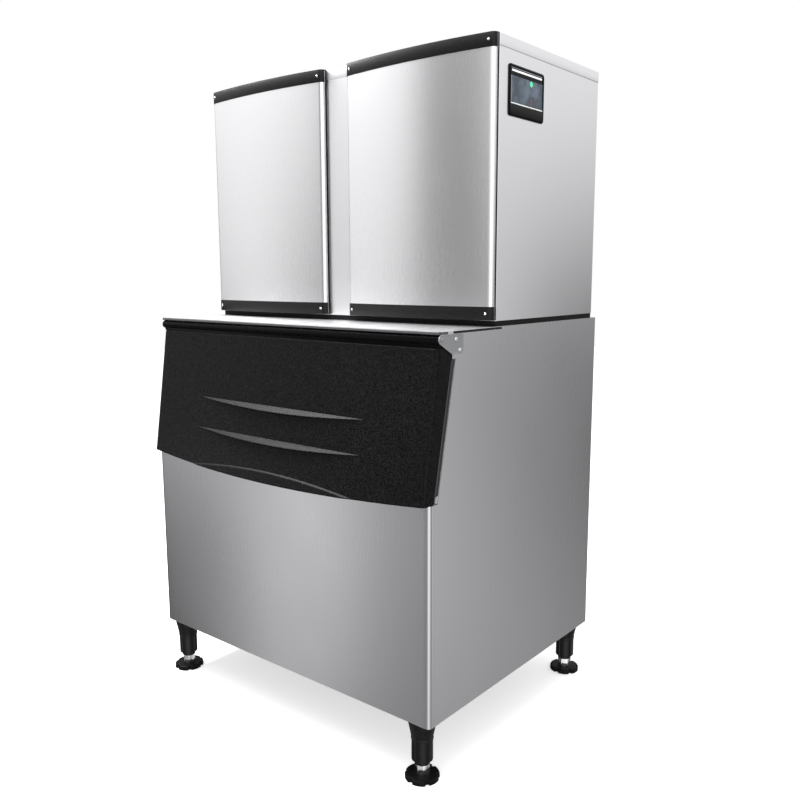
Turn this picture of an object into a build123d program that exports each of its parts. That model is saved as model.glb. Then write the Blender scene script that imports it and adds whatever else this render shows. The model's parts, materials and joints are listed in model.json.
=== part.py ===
"""Modular ice machine: a cube ice maker standing on an insulated storage bin.

Millimetres, +Z up, the front faces -Y. While it is built, y = 0 is the outside of the
bin's front panel and z = 0 is the floor. At the end the whole model is moved along Y
so that the origin is the bottom centre of its bounding box.
"""

import math
import os

from build123d import *

# Overall sizes
body_width = 1220.0         # bin and head across their side panels
bin_depth = 944.0
floor_to_bin = 184.0        # floor to the underside of the bin
bin_height = 1110.0         # underside of the bin to the top of its deck
head_depth = 599.0
head_front_y = 313.0        # front of the head's case, behind the bowed panels
head_height = 787.0
sheet = 1.2                 # stainless sheet
seat_gap = 0.3              # between pieces that only rest against each other
pin_clearance = 0.06        # radial, on every pin that turns

# Bin shell
bin_corner_radius = 14.0    # upright front corners
front_return = 18.0         # front panel's wrap round the sides
front_panel_top = 828.0     # height of the sill under the door
sill_y = 38.1               # foot of the slanted opening
rim_tilt = 11.6             # degrees that the opening leans back
wall = 45.0                 # insulated side, back and front walls
floor_wall = 50.0           # insulated floor
liner_wall = 3.0
liner_floor_rise = 16.0     # the floor falls this much towards the drain
rim_flange = 2.5            # liner's flange round the opening
rim_land = 34.0             # flange width below and above the opening
header_bottom_z = 1252.0    # underside of the beam over the door
header_depth = 44.0
header_lip = 40.0           # liner stands this far below the deck behind the opening
deck_thickness = 8.0        # turned-down edge of the deck
deck_sheet = 1.5
deck_front_y = 50.0
deck_opening = (-575.0, 575.0, 410.0, 850.0)    # x low, x high, y low, y high
side_step_y = 345.0         # the side panels' tops step up behind this
ear_front_y = 100.0         # side panels reach forward here to carry the brackets
ear_bottom_z = 1218.0
edge_strip_height = 6.5     # up to the deck's top sheet
edge_strip_depth = 5.0
edge_strip_round = 3.0
deck_tab = 20.0             # folded corner tab in front of each side strip
nose_height = 8.0
nose_depth = 13.0
nose_return = 30.0          # the nose strip's ends turn back along the sides
nose_top_round = 3.0
nose_bottom_round = 2.0
drain_radius = 12.0
drain_collar = 22.0
drain_lip = 3.0             # stands up out of the liner's floor
drain_from_back = 104.0

# Door and its hinge
pivot_y = 50.0
pivot_z = 1272.0
rail_radius = 13.5
rail_neck = 9.0
rail_flange_thickness = 3.0
rail_flange_depth = 46.0
door_side_clearance = 2.0
door_top_drop = 22.0        # pivot to the top of the door's shell
door_bottom_z = 829.0       # underside behind the apron
door_face_y = -20.5         # front face at the door's ends, at the bottom
door_face_tilt = 8.3
door_bow = 30.0             # how far the middle of the bottom edge bows out
door_bow_power = 4.0
apron_back_y = -3.0         # back of the apron, in front of the bin
apron_end_drop = 0.8        # apron below the door's underside at its ends
apron_sag = 21.0            # how much lower it hangs in the middle
door_rows = 7               # points down each of its lofted sections
door_wall = 4.5
door_corner_radius = 14.0
door_gap = 0.5              # closed door to the liner's flange
door_pan = 13.0             # thickness of the inner liner's edge
door_pan_bottom_z = 850.0
door_pan_top_z = 1236.0
door_pan_recess = 7.0
door_pan_border = 60.0
ledge_half_length = 369.0
ledge_reach = 14.5          # how far a finger ledge stands out
ledge_drop = 15.5           # from its fold down to its crest
ledge_undercut = 6.0
ledge_heights = (1038.5, 938.0)
lip_half_length = 373.0
lip_crown_z = 842.0         # top of the arched lip in the middle
lip_reach = 4.0
lip_foot = 1.0              # lip above the apron's edge
crescent_step = 0.2         # crisp edge where a crescent meets the face
crescent_stations = (-0.97, -0.5, 0, 0.5, 0.97)     # sections along its half length
bracket_thickness = 3.0
bracket_rear_y = 149.0
bracket_bottom_z = 1231.5
bracket_corner = 7.0
bracket_knee = 46.0         # pivot to the front of the bracket's lower edge
pin_radius = 5.0
pin_length = 36.0
pin_rivet = 1.5             # pin's head outside the bracket
bracket_screw_places = ((114.0, 1270.0), (132.0, 1240.0))
bracket_screw_head = 6.5

# Legs and feet
leg_inset_x = 58.0
leg_inset_y = 44.0
leg_radius = 31.5
leg_bottom_z = 57.0
leg_flare_z = 128.0
leg_flare_radius = 42.0
leg_flange = 5.0
collar_radius = 23.0
collar_height = 12.0
shank_radius = 12.0
shank_top_z = 112.0
stem_flats = 39.0
pad_radius = 51.0
pad_height = 15.0
pad_round = 6.0
pad_notches = 6
pad_notch_radius = 7.0
pad_notch_turn = 25.0       # degrees to the first notch

# Head case
gasket_height = 16.0
gasket_width = 30.0
gasket_inset = 2.0
base_height = 40.0
base_sheet = 2.0
drop_opening = (-570.0, 140.0, 430.0, 790.0)
drop_rim = 14.0
case_return = 20.0          # side panels' front and rear returns
cover_height = 33.0
cover_proud = 1.5
cover_corner = 4.0
cover_edge = 2.0
post_width = 130.0
post_strip = 89.0           # width of the post's face between its two grooves
post_groove_end = 51.0      # outer side of each groove, from the middle
post_groove_depth = 15.0
post_fold = 30.0
panel_gap = 100.0           # between the two bowed panels
panel_bottom_gap = 2.0      # bowed panels to the head's underside
panel_end_depth = 18.0      # case to the panel's face at its ends
panel_bow = 19.0
panel_corner = 16.0
panel_sheet = 1.5
cap_height = 39.0
cap_wall = 1.6
cap_end = 3.0
cap_fit = 0.2
screw_inset = 21.0
screw_head_radius = 4.6
screw_head_height = 2.6
screw_shank_radius = 2.0
screw_hole_radius = 2.1
screw_grip = 9.0
louvre_rows = 14
louvre_pitch = 26.0
louvre_size = (110.0, 7.0)
louvre_low_z = 1430.0
louvre_columns = (300.0, 440.0)
display_size = (193.0, 141.0)       # along Y and Z
display_centre = (455.5, 1955.5)
display_frame_border = 13.0
display_frame_depth = 6.0
display_bar = 24.0          # plain bar under the screen
display_corner = 9.0
display_chamfer = 3.0
display_tub = 8.0           # depth of the frame inside the side panel
screen_recess = 2.5

# Inside the head
compartment_x = 172.0
evaporator_width = 310.0
evaporator_height = 420.0
evaporator_bottom_z = 1500.0
evaporator_centres = (-410.0, -65.0)
evaporator_from_rear = 40.0
evaporator_plate = 3.0
evaporator_depth = 26.0
evaporator_columns = 8
evaporator_rows = 11
fin = 2.0
frame_side = 8.0
frame_top_rise = 44.0
cheek_foot = 8.0            # frame's cheeks below the grid
cheek_margin = 12.0         # cheek round the curtain's pin
curtain_pivot_drop = 14.0   # top of the frame to the curtain's pin
curtain_pivot_gap = 24.0    # pivot in front of the grid
curtain_sheet = 3.0
curtain_tube_radius = 7.0
curtain_pin_radius = 4.0
curtain_drop = 455.0
curtain_curve = 14.0
distributor_radius = 13.0
distributor_wall = 3.0
distributor_end = 6.0
trough_size = (95.0, 60.0)          # depth and height
trough_bottom_z = 1400.0
trough_wall = 3.0
trough_round = 14.0
pump_radius = 26.0
pump_height = 105.0
pump_base = 18.0
pump_neck_radius = 9.0
pump_neck_top = 60.0
pump_motor_radius = 30.0
pump_clearance = 10.0
compressor_radius = 88.0
compressor_height = 290.0
compressor_place = (390.0, 500.0)
compressor_crown = 48.0
compressor_plate = (200.0, 22.0, 3.0)       # square plate, its corners, its sheet
compressor_foot_reach = 80.0
compressor_foot_radius = 13.0
compressor_foot_height = 14.0
coil_size = (300.0, 46.0, 330.0)
coil_centre = (390.0, 765.0, 1600.0)
coil_fins = 16
coil_fin_sheet = 3.0
coil_tank = 8.0             # top and bottom of the coil
coil_back = 13.0            # closed part behind the fins
coil_leg = 4.0              # half the width of a leg
fan_radius = 138.0
fan_hub_radius = 26.0
fan_blades = 5
fan_width = 26.0
fan_shaft_radius = 5.0
fan_shaft_cap = 1.5         # hub in front of its bore
blade_sink = 6.0            # blade's root inside the hub
blade_sheet = 2.2
blade_root = (24.0, 0.75)   # chord, and pitch as a slope
blade_tip = (74.0, 0.3)
shroud_depth = 40.0
shroud_sheet = 2.0
shroud_clearance = 6.0
motor_radius = 38.0
motor_length = 48.0
motor_arm = 7.0
motor_arm_half = 10.0
motor_arm_foot = 3.0        # half the width of a foot of the motor's arm
motor_gap = 4.0
control_box_size = (52.0, 215.0, 190.0)
inlet_radius = 13.2
inlet_bore = 9.2
inlet_length = 26.0
inlet_flange = 4.0          # hexagonal flange against the rear panel
inlet_flats = 36.0
inlet_tail = 8.0            # inside the rear panel
inlet_place = (-300.0, 1385.0)      # x and z
gland_radius = 10.0
gland_length = 20.0
gland_bore = 5.0
gland_inset = 50.0          # from the side panel
gland_z = 1385.0
through = 99.0              # length of a cutter that passes right through

# Worked out from the sizes above
half_width = body_width / 2
deck_top = floor_to_bin + bin_height
deck_bottom = deck_top - deck_thickness
side_top_z = deck_top - deck_sheet - edge_strip_height
head_bottom = deck_top + gasket_height
head_top = head_bottom + head_height
head_rear_y = head_front_y + head_depth
drain_y = bin_depth - drain_from_back
door_top_z = pivot_z - door_top_drop
evaporator_back_y = head_rear_y - evaporator_from_rear
base_floor = head_bottom + base_sheet
rim_slope = math.tan(math.radians(rim_tilt))
rim_stretch = 1 / math.cos(math.radians(rim_tilt))
face_slope = math.tan(math.radians(door_face_tilt))
door_half = half_width - door_side_clearance
door_rear_offset = rim_flange + door_gap
panel_face_y = head_front_y - sheet - panel_end_depth
panel_back_y = head_front_y - seat_gap
inner_half = half_width - sheet

parts = {}


def block(x0, x1, y0, y1, z0, z1):
    """Rectangular solid between two corners."""
    size = Box(x1 - x0, y1 - y0, z1 - z0)
    return Pos((x0 + x1) / 2, (y0 + y1) / 2, (z0 + z1) / 2) * size


def side_prism(outline, x0, x1):
    """Prism between x0 and x1 of an outline given as (y, z) corners."""
    wire = Polyline(*[(x0, y, z) for y, z in outline], close=True)
    return extrude(make_face(wire), amount=x1 - x0, dir=(1, 0, 0))


def plan_prism(face, z0, z1):
    """Prism between z0 and z1 of a face drawn in plan."""
    return extrude(Pos(0, 0, z0) * face, amount=z1 - z0, dir=(0, 0, 1))


def rod(radius, start, end):
    """Round bar between two points on a line along one axis."""
    length = (Vector(*end) - Vector(*start)).length
    plane = Plane(start, z_dir=Vector(*end) - Vector(*start))
    return extrude(plane * Circle(radius), amount=length)


def mirrored(shape):
    """The same piece on the other side of the machine."""
    return mirror(shape, about=Plane.YZ)


def both_sides(pieces):
    """One node of equal pieces on the right and on the left."""
    group = pieces[0]
    for piece in pieces[1:]:
        group += piece
    return group + mirrored(group)


def rim_y(z, offset=0.0):
    """Y of the slanted opening plane at height z, moved forward by offset."""
    return sill_y + (z - front_panel_top) * rim_slope - offset * rim_stretch


def rim_band(z0, z1, near, far, x0, x1):
    """Slab along the slanted plane, between two offsets in front of it."""
    outline = [
        (rim_y(z0, far), z0),
        (rim_y(z0, near), z0),
        (rim_y(z1, near), z1),
        (rim_y(z1, far), z1),
    ]
    return side_prism(outline, x0, x1)


def case_plan(inset, y_rear):
    """Plan outline of the bin: square behind, rounded at the two front corners."""
    half = half_width - inset
    corner = max(bin_corner_radius - inset, 0.5)
    outline = make_face(
        Polyline((-half, inset), (half, inset), (half, y_rear), (-half, y_rear), close=True)
    )
    front = outline.vertices().sort_by(Axis.Y)[:2]
    return fillet(front, corner)


# Bin

def bin_section(inset):
    """Side outline of the foamed body behind the door opening, as (y, z) corners."""
    return [
        (inset, floor_to_bin + inset),
        (bin_depth - inset, floor_to_bin + inset),
        (bin_depth - inset, deck_bottom),
        (rim_y(deck_bottom), deck_bottom),
        (rim_y(front_panel_top - inset), front_panel_top - inset),
        (inset, front_panel_top - inset),
    ]


def opening_heights():
    """Bottom and top of the clear door opening."""
    return front_panel_top + rim_land, header_bottom_z - rim_land


def cavity_section(inset, reach, top):
    """Side outline of the ice space; reach extends it out through the opening."""
    low, high = opening_heights()
    floor_front = floor_to_bin + floor_wall + liner_floor_rise
    floor_rear = floor_to_bin + floor_wall
    return [
        (wall + inset, floor_front + inset),
        (bin_depth - wall - inset, floor_rear + inset),
        (bin_depth - wall - inset, top),
        (rim_y(high) + header_depth + inset, top),
        (rim_y(high) + header_depth + inset, header_bottom_z - header_lip),
        (rim_y(high - inset, reach), high - inset),
        (rim_y(low + inset, reach), low + inset),
        (rim_y(low + inset) + inset + 1, low + inset),
    ]


def build_bin_shell():
    """Stainless skins of the bin."""
    wrap = case_plan(0, front_return) - case_plan(sheet, front_return)
    front = plan_prism(wrap, floor_to_bin, front_panel_top)
    sill = plan_prism(case_plan(sheet, sill_y - sheet), front_panel_top - sheet, front_panel_top)
    parts["bin_front_panel"] = front + sill

    outline = [
        (front_return + seat_gap, floor_to_bin),
        (bin_depth, floor_to_bin),
        (bin_depth, deck_top),
        (side_step_y, deck_top),
        (side_step_y, side_top_z),
        (ear_front_y, side_top_z),
        (ear_front_y, ear_bottom_z),
        (rim_y(ear_bottom_z, rim_flange), ear_bottom_z),
        (rim_y(front_panel_top, rim_flange), front_panel_top),
        (front_return + seat_gap, front_panel_top),
    ]
    side = side_prism(outline, inner_half, half_width)
    parts["bin_side_panel_right"] = side
    parts["bin_side_panel_left"] = mirrored(side)

    back = block(-inner_half, inner_half, bin_depth - sheet, bin_depth, floor_to_bin, deck_bottom)
    parts["bin_back_panel"] = back

    plan = case_plan(sheet, bin_depth - sheet)
    base = plan_prism(plan, floor_to_bin, floor_to_bin + sheet)
    base -= rod(drain_collar, (0, drain_y, floor_to_bin - 1), (0, drain_y, floor_to_bin + through))
    parts["bin_base_panel"] = base


def build_bin_inside():
    """Plastic liner, foam and drain."""
    outer_half = half_width - wall
    flange_half = half_width - 2 * sheet
    outer = side_prism(cavity_section(0, 0, deck_bottom), -outer_half, outer_half)
    flange = rim_band(
        front_panel_top + sheet, header_bottom_z, 0, rim_flange, -flange_half, flange_half
    )
    inner_half_width = outer_half - liner_wall
    inner = side_prism(
        cavity_section(liner_wall, through, deck_top), -inner_half_width, inner_half_width
    )
    liner = outer + flange - inner

    body = side_prism(bin_section(sheet), -inner_half, inner_half)
    rounded = plan_prism(case_plan(sheet, bin_depth - sheet), floor_to_bin, deck_bottom)
    foam = (body & rounded) - outer
    drain_top = floor_to_bin + floor_wall + liner_wall + drain_lip
    fitting = rod(drain_collar, (0, drain_y, floor_to_bin), (0, drain_y, drain_top))
    foam -= fitting
    liner -= fitting
    fitting -= rod(drain_radius, (0, drain_y, floor_to_bin - 1), (0, drain_y, drain_top + 1))
    parts["bin_liner"] = liner
    parts["bin_insulation"] = foam
    parts["bin_drain_fitting"] = fitting


def build_deck():
    """Deck tray, the black strips round its edge and the gasket on it."""
    top = block(-half_width, half_width, deck_front_y, side_step_y, deck_top - deck_sheet, deck_top)
    rear = block(
        -inner_half, inner_half, side_step_y, bin_depth, deck_top - deck_sheet, deck_top
    )
    skirt_half = half_width - deck_sheet - seat_gap
    skirt = block(
        -skirt_half, skirt_half, deck_front_y, deck_front_y + deck_sheet, deck_bottom, deck_top
    )
    deck = top + rear + skirt
    for side in (-1, 1):
        tab = block(
            half_width - deck_sheet,
            half_width,
            ear_front_y + seat_gap - deck_tab,
            ear_front_y + seat_gap + 4,
            deck_bottom + seat_gap,
            deck_top,
        )
        deck += tab if side > 0 else mirrored(tab)
    rail = block(
        -inner_half,
        inner_half,
        bin_depth - deck_sheet,
        bin_depth,
        deck_bottom,
        deck_top,
    )
    deck += rail
    x0, x1, y0, y1 = deck_opening
    deck -= block(x0, x1, y0, y1, deck_bottom - 1, deck_top + 1)
    rim_depth = deck_thickness
    throat = block(x0, x1, y0, y1, deck_top - rim_depth, deck_top)
    throat -= block(
        x0 + deck_sheet, x1 - deck_sheet, y0 + deck_sheet, y1 - deck_sheet, deck_bottom - 1, deck_top + 1
    )
    deck += throat
    parts["top_deck"] = deck

    front = deck_front_y - seat_gap
    lip = [
        (front, deck_top),
        (front, deck_top - nose_height),
        (front - nose_depth + nose_bottom_round, deck_top - nose_height),
        (front - nose_depth, deck_top - nose_height + nose_bottom_round),
        (front - nose_depth, deck_top - nose_top_round),
        (front - nose_depth + nose_top_round, deck_top),
    ]
    nose = side_prism(lip, -half_width, half_width)
    hook = block(
        half_width - deck_sheet,
        half_width,
        front - 1,
        front + nose_return,
        deck_top - nose_height,
        deck_top - deck_sheet - seat_gap,
    )
    parts["deck_nose_strip"] = nose + hook + mirrored(hook)

    strip = block(
        half_width - edge_strip_depth,
        half_width - seat_gap,
        ear_front_y + deck_tab / 4 + seat_gap,
        side_step_y - seat_gap,
        side_top_z + seat_gap,
        deck_top - deck_sheet,
    )
    strip = fillet(strip.edges().filter_by(Axis.X).group_by(Axis.Y)[-1], edge_strip_round)
    parts["deck_edge_strips"] = both_sides([strip])

    half = half_width - gasket_inset
    y0 = head_front_y + gasket_inset
    y1 = head_rear_y - gasket_inset
    gasket = block(-half, half, y0, y1, deck_top, head_bottom)
    gasket -= block(
        -half + gasket_width,
        half - gasket_width,
        y0 + gasket_width,
        y1 - gasket_width,
        deck_top - 1,
        head_bottom + 1,
    )
    parts["head_gasket"] = gasket


def build_hinges():
    """Bracket plates with their riveted pins, and the screws that hold them."""
    lobe = Pos(pivot_y, pivot_z) * Circle(rail_radius + 0.5)
    reach = bracket_rear_y - bracket_corner
    corners = [
        (reach, pivot_z + rail_radius - bracket_corner),
        (reach, bracket_bottom_z + bracket_corner),
        (pivot_y + bracket_knee, bracket_bottom_z + bracket_corner),
    ]
    rounds = [Pos(y, z) * Circle(bracket_corner) for y, z in corners]
    outline = make_hull(lobe.edges() + [edge for item in rounds for edge in item.edges()])
    plane = Plane(origin=(half_width, 0, 0), x_dir=(0, 1, 0), z_dir=(1, 0, 0))
    plate = extrude(plane * outline, amount=bracket_thickness)
    screws = []
    for y, z in bracket_screw_places:
        start = (half_width + bracket_thickness, y, z)
        plate -= rod(screw_hole_radius, (inner_half, y, z), (half_width + through, y, z))
        screws.append(pan_screw(start, (1, 0, 0), bracket_thickness + sheet, bracket_screw_head))
    pin = rod(
        pin_radius,
        (half_width + bracket_thickness + pin_rivet, pivot_y, pivot_z),
        (half_width - pin_length, pivot_y, pivot_z),
    )
    bracket = plate + pin
    parts["hinge_bracket_right"] = bracket
    parts["hinge_bracket_left"] = mirrored(bracket)
    parts["hinge_screws"] = both_sides(screws)
    for name, sign in (("bin_side_panel_right", 1), ("bin_side_panel_left", -1)):
        for y, z in bracket_screw_places:
            parts[name] -= rod(
                screw_hole_radius, (sign * (inner_half - 1), y, z), (sign * (half_width + 1), y, z)
            )


def pan_screw(seat, direction, grip, head_radius=screw_head_radius):
    """Pan-head screw: the head stands on seat, the shank goes grip deep behind it."""
    plane = Plane(seat, z_dir=direction)
    head = plane * Cylinder(
        head_radius, screw_head_height, align=(Align.CENTER, Align.CENTER, Align.MIN)
    )
    shank = plane * Cylinder(
        screw_shank_radius, grip, align=(Align.CENTER, Align.CENTER, Align.MAX)
    )
    return head + shank


# Door

def door_sag(x):
    """Share of the full bow at distance x from the middle: a parabola."""
    return 1 - (x / door_half) ** 2


def door_low(x):
    """Height of the apron's edge, which sags towards the middle."""
    return door_bottom_z - apron_end_drop - apron_sag * door_sag(x)


def door_front(x, z):
    """Y of the door's front face: a tilted plane that bows out towards the bottom."""
    share = (door_top_z - z) / (door_top_z - door_low(x))
    bow = door_bow * door_sag(x) * max(share, 0) ** door_bow_power
    return door_face_y + (z - door_bottom_z) * face_slope - bow


def door_section(x, inset, rear):
    """Face across the door at x; rear is how far its back stands off the opening."""
    low = door_bottom_z + inset
    edge = door_low(x) + inset
    high = door_top_z - inset
    heights = [edge + (high - edge) * step / door_rows for step in range(door_rows + 1)]
    front = Spline(*[(x, door_front(x, z) + inset, z) for z in heights])
    top = Line(front @ 1, (x, rim_y(high, rear), high))
    back = Line(top @ 1, (x, rim_y(low, rear), low))
    bottom = Line(back @ 1, (x, apron_back_y - inset, low))
    step_up = Line(bottom @ 1, (x, apron_back_y - inset, edge))
    apron = Line(step_up @ 1, front @ 0)
    return make_face(front + top + back + bottom + step_up + apron)


def door_body(inset, rear, corner):
    """Lofted door form with rounded upright front corners."""
    half = door_half - inset
    places = [-half, -half / 2, 0, half / 2, half]
    solid = loft([door_section(x, inset, rear) for x in places])
    ends = solid.faces().filter_by(Axis.X)
    upright = [face.edges().sort_by(SortBy.LENGTH)[-2:] for face in ends]
    edges = [pair.sort_by(lambda edge: (edge @ 0.5).Y)[0] for pair in upright]
    return fillet(edges, corner)


def crescent_section(x, fold_z, crest_z, foot_z, reach):
    """Section at x of a crescent that grows out of the door's face between two heights."""
    sink = door_wall / 2
    outline = Polyline(
        (x, door_front(x, fold_z) + sink, fold_z + sink / 2),
        (x, door_front(x, fold_z) - crescent_step, fold_z),
        (x, door_front(x, crest_z) - reach, crest_z),
        (x, door_front(x, foot_z) - crescent_step, foot_z),
        (x, door_front(x, foot_z) + sink, foot_z),
        close=True,
    )
    return make_face(outline)


def finger_ledge(fold_z):
    """Crescent ledge under a straight fold; its crest and its undercut dip in the middle."""
    faces = []
    for share in crescent_stations:
        grow = 1 - share ** 2
        crest_z = fold_z - ledge_drop * grow
        foot_z = crest_z - ledge_undercut * grow
        faces.append(
            crescent_section(share * ledge_half_length, fold_z, crest_z, foot_z, ledge_reach * grow)
        )
    return loft(faces)


def arched_lip():
    """Raised lip between an arched line and the apron's edge."""
    tip_z = door_low(lip_half_length)
    faces = []
    for share in crescent_stations:
        x = share * lip_half_length
        grow = 1 - share ** 2
        fold_z = tip_z + (lip_crown_z - tip_z) * grow + lip_foot
        crest_z = door_low(x) + lip_foot * (1 + grow) / 2
        foot_z = door_low(x) + lip_foot / 2
        faces.append(crescent_section(x, fold_z, crest_z, foot_z, lip_reach * grow))
    return loft(faces)


def build_door():
    """Outer shell with finger ledges, inner liner and the rolled rail on the hinge line."""
    rear = door_rear_offset + door_pan
    shell = door_body(0, rear, door_corner_radius)
    for height in ledge_heights:
        shell += finger_ledge(height)
    shell += arched_lip()
    shell -= door_body(door_wall, -door_wall, door_corner_radius - door_wall)
    parts["door_outer_shell"] = shell

    pan = rim_band(
        door_pan_bottom_z, door_pan_top_z, door_rear_offset, rear, -door_half, door_half
    )
    field = rim_band(
        door_pan_bottom_z + door_pan_border,
        door_pan_top_z - door_pan_border,
        0,
        door_rear_offset + door_pan_recess,
        -door_half + door_pan_border,
        door_half - door_pan_border,
    )
    parts["door_inner_liner"] = pan - field

    roll = rod(rail_radius, (-door_half, pivot_y, pivot_z), (door_half, pivot_y, pivot_z))
    neck = block(
        -door_half,
        door_half,
        pivot_y - rail_neck / 2,
        pivot_y + rail_neck,
        door_top_z,
        pivot_z - rail_radius / 2,
    )
    flange = block(
        -door_half,
        door_half,
        pivot_y - rail_neck / 2,
        pivot_y + rail_flange_depth,
        door_top_z,
        door_top_z + rail_flange_thickness,
    )
    rail = roll + neck + flange
    for side in (-1, 1):
        rail -= rod(
            pin_radius + pin_clearance,
            (side * (half_width - pin_length - 1), pivot_y, pivot_z),
            (side * half_width, pivot_y, pivot_z),
        )
    parts["door_top_rail"] = rail


# Legs

def build_leg(name, x, y):
    """One leg with its foot: flared leg, threaded stem with a hexagon, round pad."""
    top = floor_to_bin
    profile = Polyline(
        (0, leg_bottom_z),
        (leg_radius, leg_bottom_z),
        (leg_radius, leg_flare_z),
        (leg_flare_radius, top - leg_flange),
        (leg_flare_radius, top),
        (0, top),
        close=True,
    )
    leg = revolve(make_face(Plane.XZ * profile), axis=Axis.Z)
    collar = Pos(0, 0, leg_bottom_z - collar_height) * Cylinder(
        collar_radius, collar_height, align=(Align.CENTER, Align.CENTER, Align.MIN)
    )
    leg += collar
    leg -= rod(
        shank_radius + pin_clearance, (0, 0, leg_bottom_z - collar_height - 1), (0, 0, shank_top_z + 3)
    )
    parts["leg_" + name] = Pos(x, y, 0) * leg

    stem_top = leg_bottom_z - collar_height - seat_gap
    hexagon = extrude(
        Pos(0, 0, pad_height) * RegularPolygon(stem_flats / 2, 6, major_radius=False),
        amount=stem_top - pad_height,
    )
    shank = rod(shank_radius, (0, 0, pad_height), (0, 0, shank_top_z))
    parts["foot_stem_" + name] = Pos(x, y, 0) * (hexagon + shank)

    pad = Cylinder(pad_radius, pad_height, align=(Align.CENTER, Align.CENTER, Align.MIN))
    pad = fillet(pad.edges().group_by(Axis.Z)[-1], pad_round)
    for index in range(pad_notches):
        angle = math.radians(360 / pad_notches * index + pad_notch_turn)
        spot = (pad_radius * math.cos(angle), pad_radius * math.sin(angle))
        pad -= rod(pad_notch_radius, (*spot, -1), (*spot, pad_height + 1))
    parts["foot_pad_" + name] = Pos(x, y, 0) * pad


def build_legs():
    """Four legs, one near each corner of the bin."""
    x = half_width - leg_inset_x
    for row, y in (("front", leg_inset_y), ("rear", bin_depth - leg_inset_y)):
        build_leg(row + "_right", x, y)
        build_leg(row + "_left", -x, y)


# Head case

def build_head_case():
    """Base pan, side panels, rear panel, top cover and centre post."""
    y_low = head_front_y
    y_high = head_rear_y
    x = inner_half - seat_gap
    base = block(-x, x, y_low + sheet, y_high - 2 * sheet, head_bottom, head_bottom + base_height)
    base -= block(
        -x + base_sheet,
        x - base_sheet,
        y_low + sheet + base_sheet,
        y_high - 2 * sheet - base_sheet,
        base_floor,
        head_top,
    )
    x0, x1, y0, y1 = drop_opening
    chute = block(x0, x1, y0, y1, head_bottom, base_floor + drop_rim)
    chute -= block(
        x0 + base_sheet, x1 - base_sheet, y0 + base_sheet, y1 - base_sheet, head_bottom - 1, head_top
    )
    base -= block(x0, x1, y0, y1, head_bottom - 1, base_floor + 1)
    parts["head_base"] = base + chute

    cover_bottom = head_top - cover_height
    side_top = head_top - 2 * sheet
    outer = half_width
    channel = make_face(
        Polyline(
            (outer - case_return, y_low),
            (outer, y_low),
            (outer, y_high),
            (outer - case_return, y_high),
            (outer - case_return, y_high - sheet),
            (outer - sheet, y_high - sheet),
            (outer - sheet, y_low + sheet),
            (outer - case_return, y_low + sheet),
            close=True,
        )
    )
    side = plan_prism(channel, head_bottom, side_top)
    side = side - block(
        0, inner_half, y_low - 1, y_low + 2 * sheet, head_bottom - 1, head_bottom - 0.5
    )
    parts["head_side_panel_left"] = mirrored(side)
    span_y, span_z = display_size
    mid_y, mid_z = display_centre
    window = block(
        outer - 5,
        outer + 5,
        mid_y - span_y / 2 + display_frame_border / 2,
        mid_y + span_y / 2 - display_frame_border / 2,
        mid_z - span_z / 2 + display_frame_border / 2,
        mid_z + span_z / 2 - display_frame_border / 2,
    )
    parts["head_side_panel_right"] = side - window

    rear_half = inner_half - seat_gap
    rear = block(
        -rear_half, rear_half, y_high - 2 * sheet, y_high - sheet, head_bottom, side_top
    )
    long, high = louvre_size
    slot = extrude(
        Plane.XZ * SlotOverall(long, high), amount=20, both=True
    )
    for x_mid in louvre_columns:
        for row in range(louvre_rows):
            rear -= Pos(x_mid, y_high, louvre_low_z + row * louvre_pitch) * slot
    inlet_x, inlet_z = inlet_place
    gland_x = half_width - gland_inset
    back = y_high - sheet
    front = y_high - 3 * sheet
    rear -= rod(inlet_radius, (inlet_x, front, inlet_z), (inlet_x, y_high, inlet_z))
    rear += rod(gland_radius, (gland_x, front, gland_z), (gland_x, y_high + gland_length, gland_z))
    rear -= rod(gland_bore, (gland_x, front - 1, gland_z), (gland_x, y_high + through, gland_z))
    parts["head_rear_panel"] = rear

    inlet_end = back + seat_gap + inlet_flange + inlet_length
    shank = rod(
        inlet_radius - seat_gap, (inlet_x, back - inlet_tail, inlet_z), (inlet_x, back + 1, inlet_z)
    )
    flange = extrude(
        Plane((inlet_x, back + seat_gap / 2, inlet_z), z_dir=(0, 1, 0))
        * RegularPolygon(inlet_flats / 2, 6, major_radius=False),
        amount=inlet_flange,
    )
    stub = rod(inlet_radius, (inlet_x, back + 1, inlet_z), (inlet_x, inlet_end, inlet_z))
    bore = rod(inlet_bore, (inlet_x, back - through, inlet_z), (inlet_x, inlet_end + 1, inlet_z))
    parts["water_inlet"] = shank + flange + stub - bore

    cover = block(
        -half_width - cover_proud,
        half_width + cover_proud,
        y_low,
        y_high + cover_proud,
        cover_bottom,
        head_top,
    )
    cover = fillet(cover.edges().filter_by(Axis.Z), cover_corner)
    cover = fillet(cover.edges().group_by(Axis.Z)[-1], cover_edge)
    lip = cover_proud - seat_gap
    cover -= block(
        -half_width - seat_gap,
        half_width + seat_gap,
        y_low - 1,
        y_high + seat_gap,
        cover_bottom - 1,
        head_top - lip,
    )
    parts["head_top_cover"] = cover

    parts["head_front_post"] = front_post(y_low, side_top)


def front_post(y_low, top):
    """Folded post: its face stands between two grooves, and a panel rests on each shoulder."""
    face = post_strip / 2
    half = post_width / 2
    foot = head_bottom + base_height
    groove_y = y_low + post_groove_depth
    post = block(-face, face, y_low, y_low + sheet, head_bottom, top)
    folds = [
        block(face - sheet, face, y_low, groove_y, foot, top),
        block(face - sheet, post_groove_end + sheet, groove_y - sheet, groove_y, foot, top),
        block(post_groove_end, post_groove_end + sheet, y_low, groove_y, foot, top),
        block(post_groove_end, half, y_low, y_low + sheet, foot, top),
        block(half - sheet, half, y_low, y_low + post_fold, foot, top),
    ]
    return post + both_sides(folds)


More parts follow.
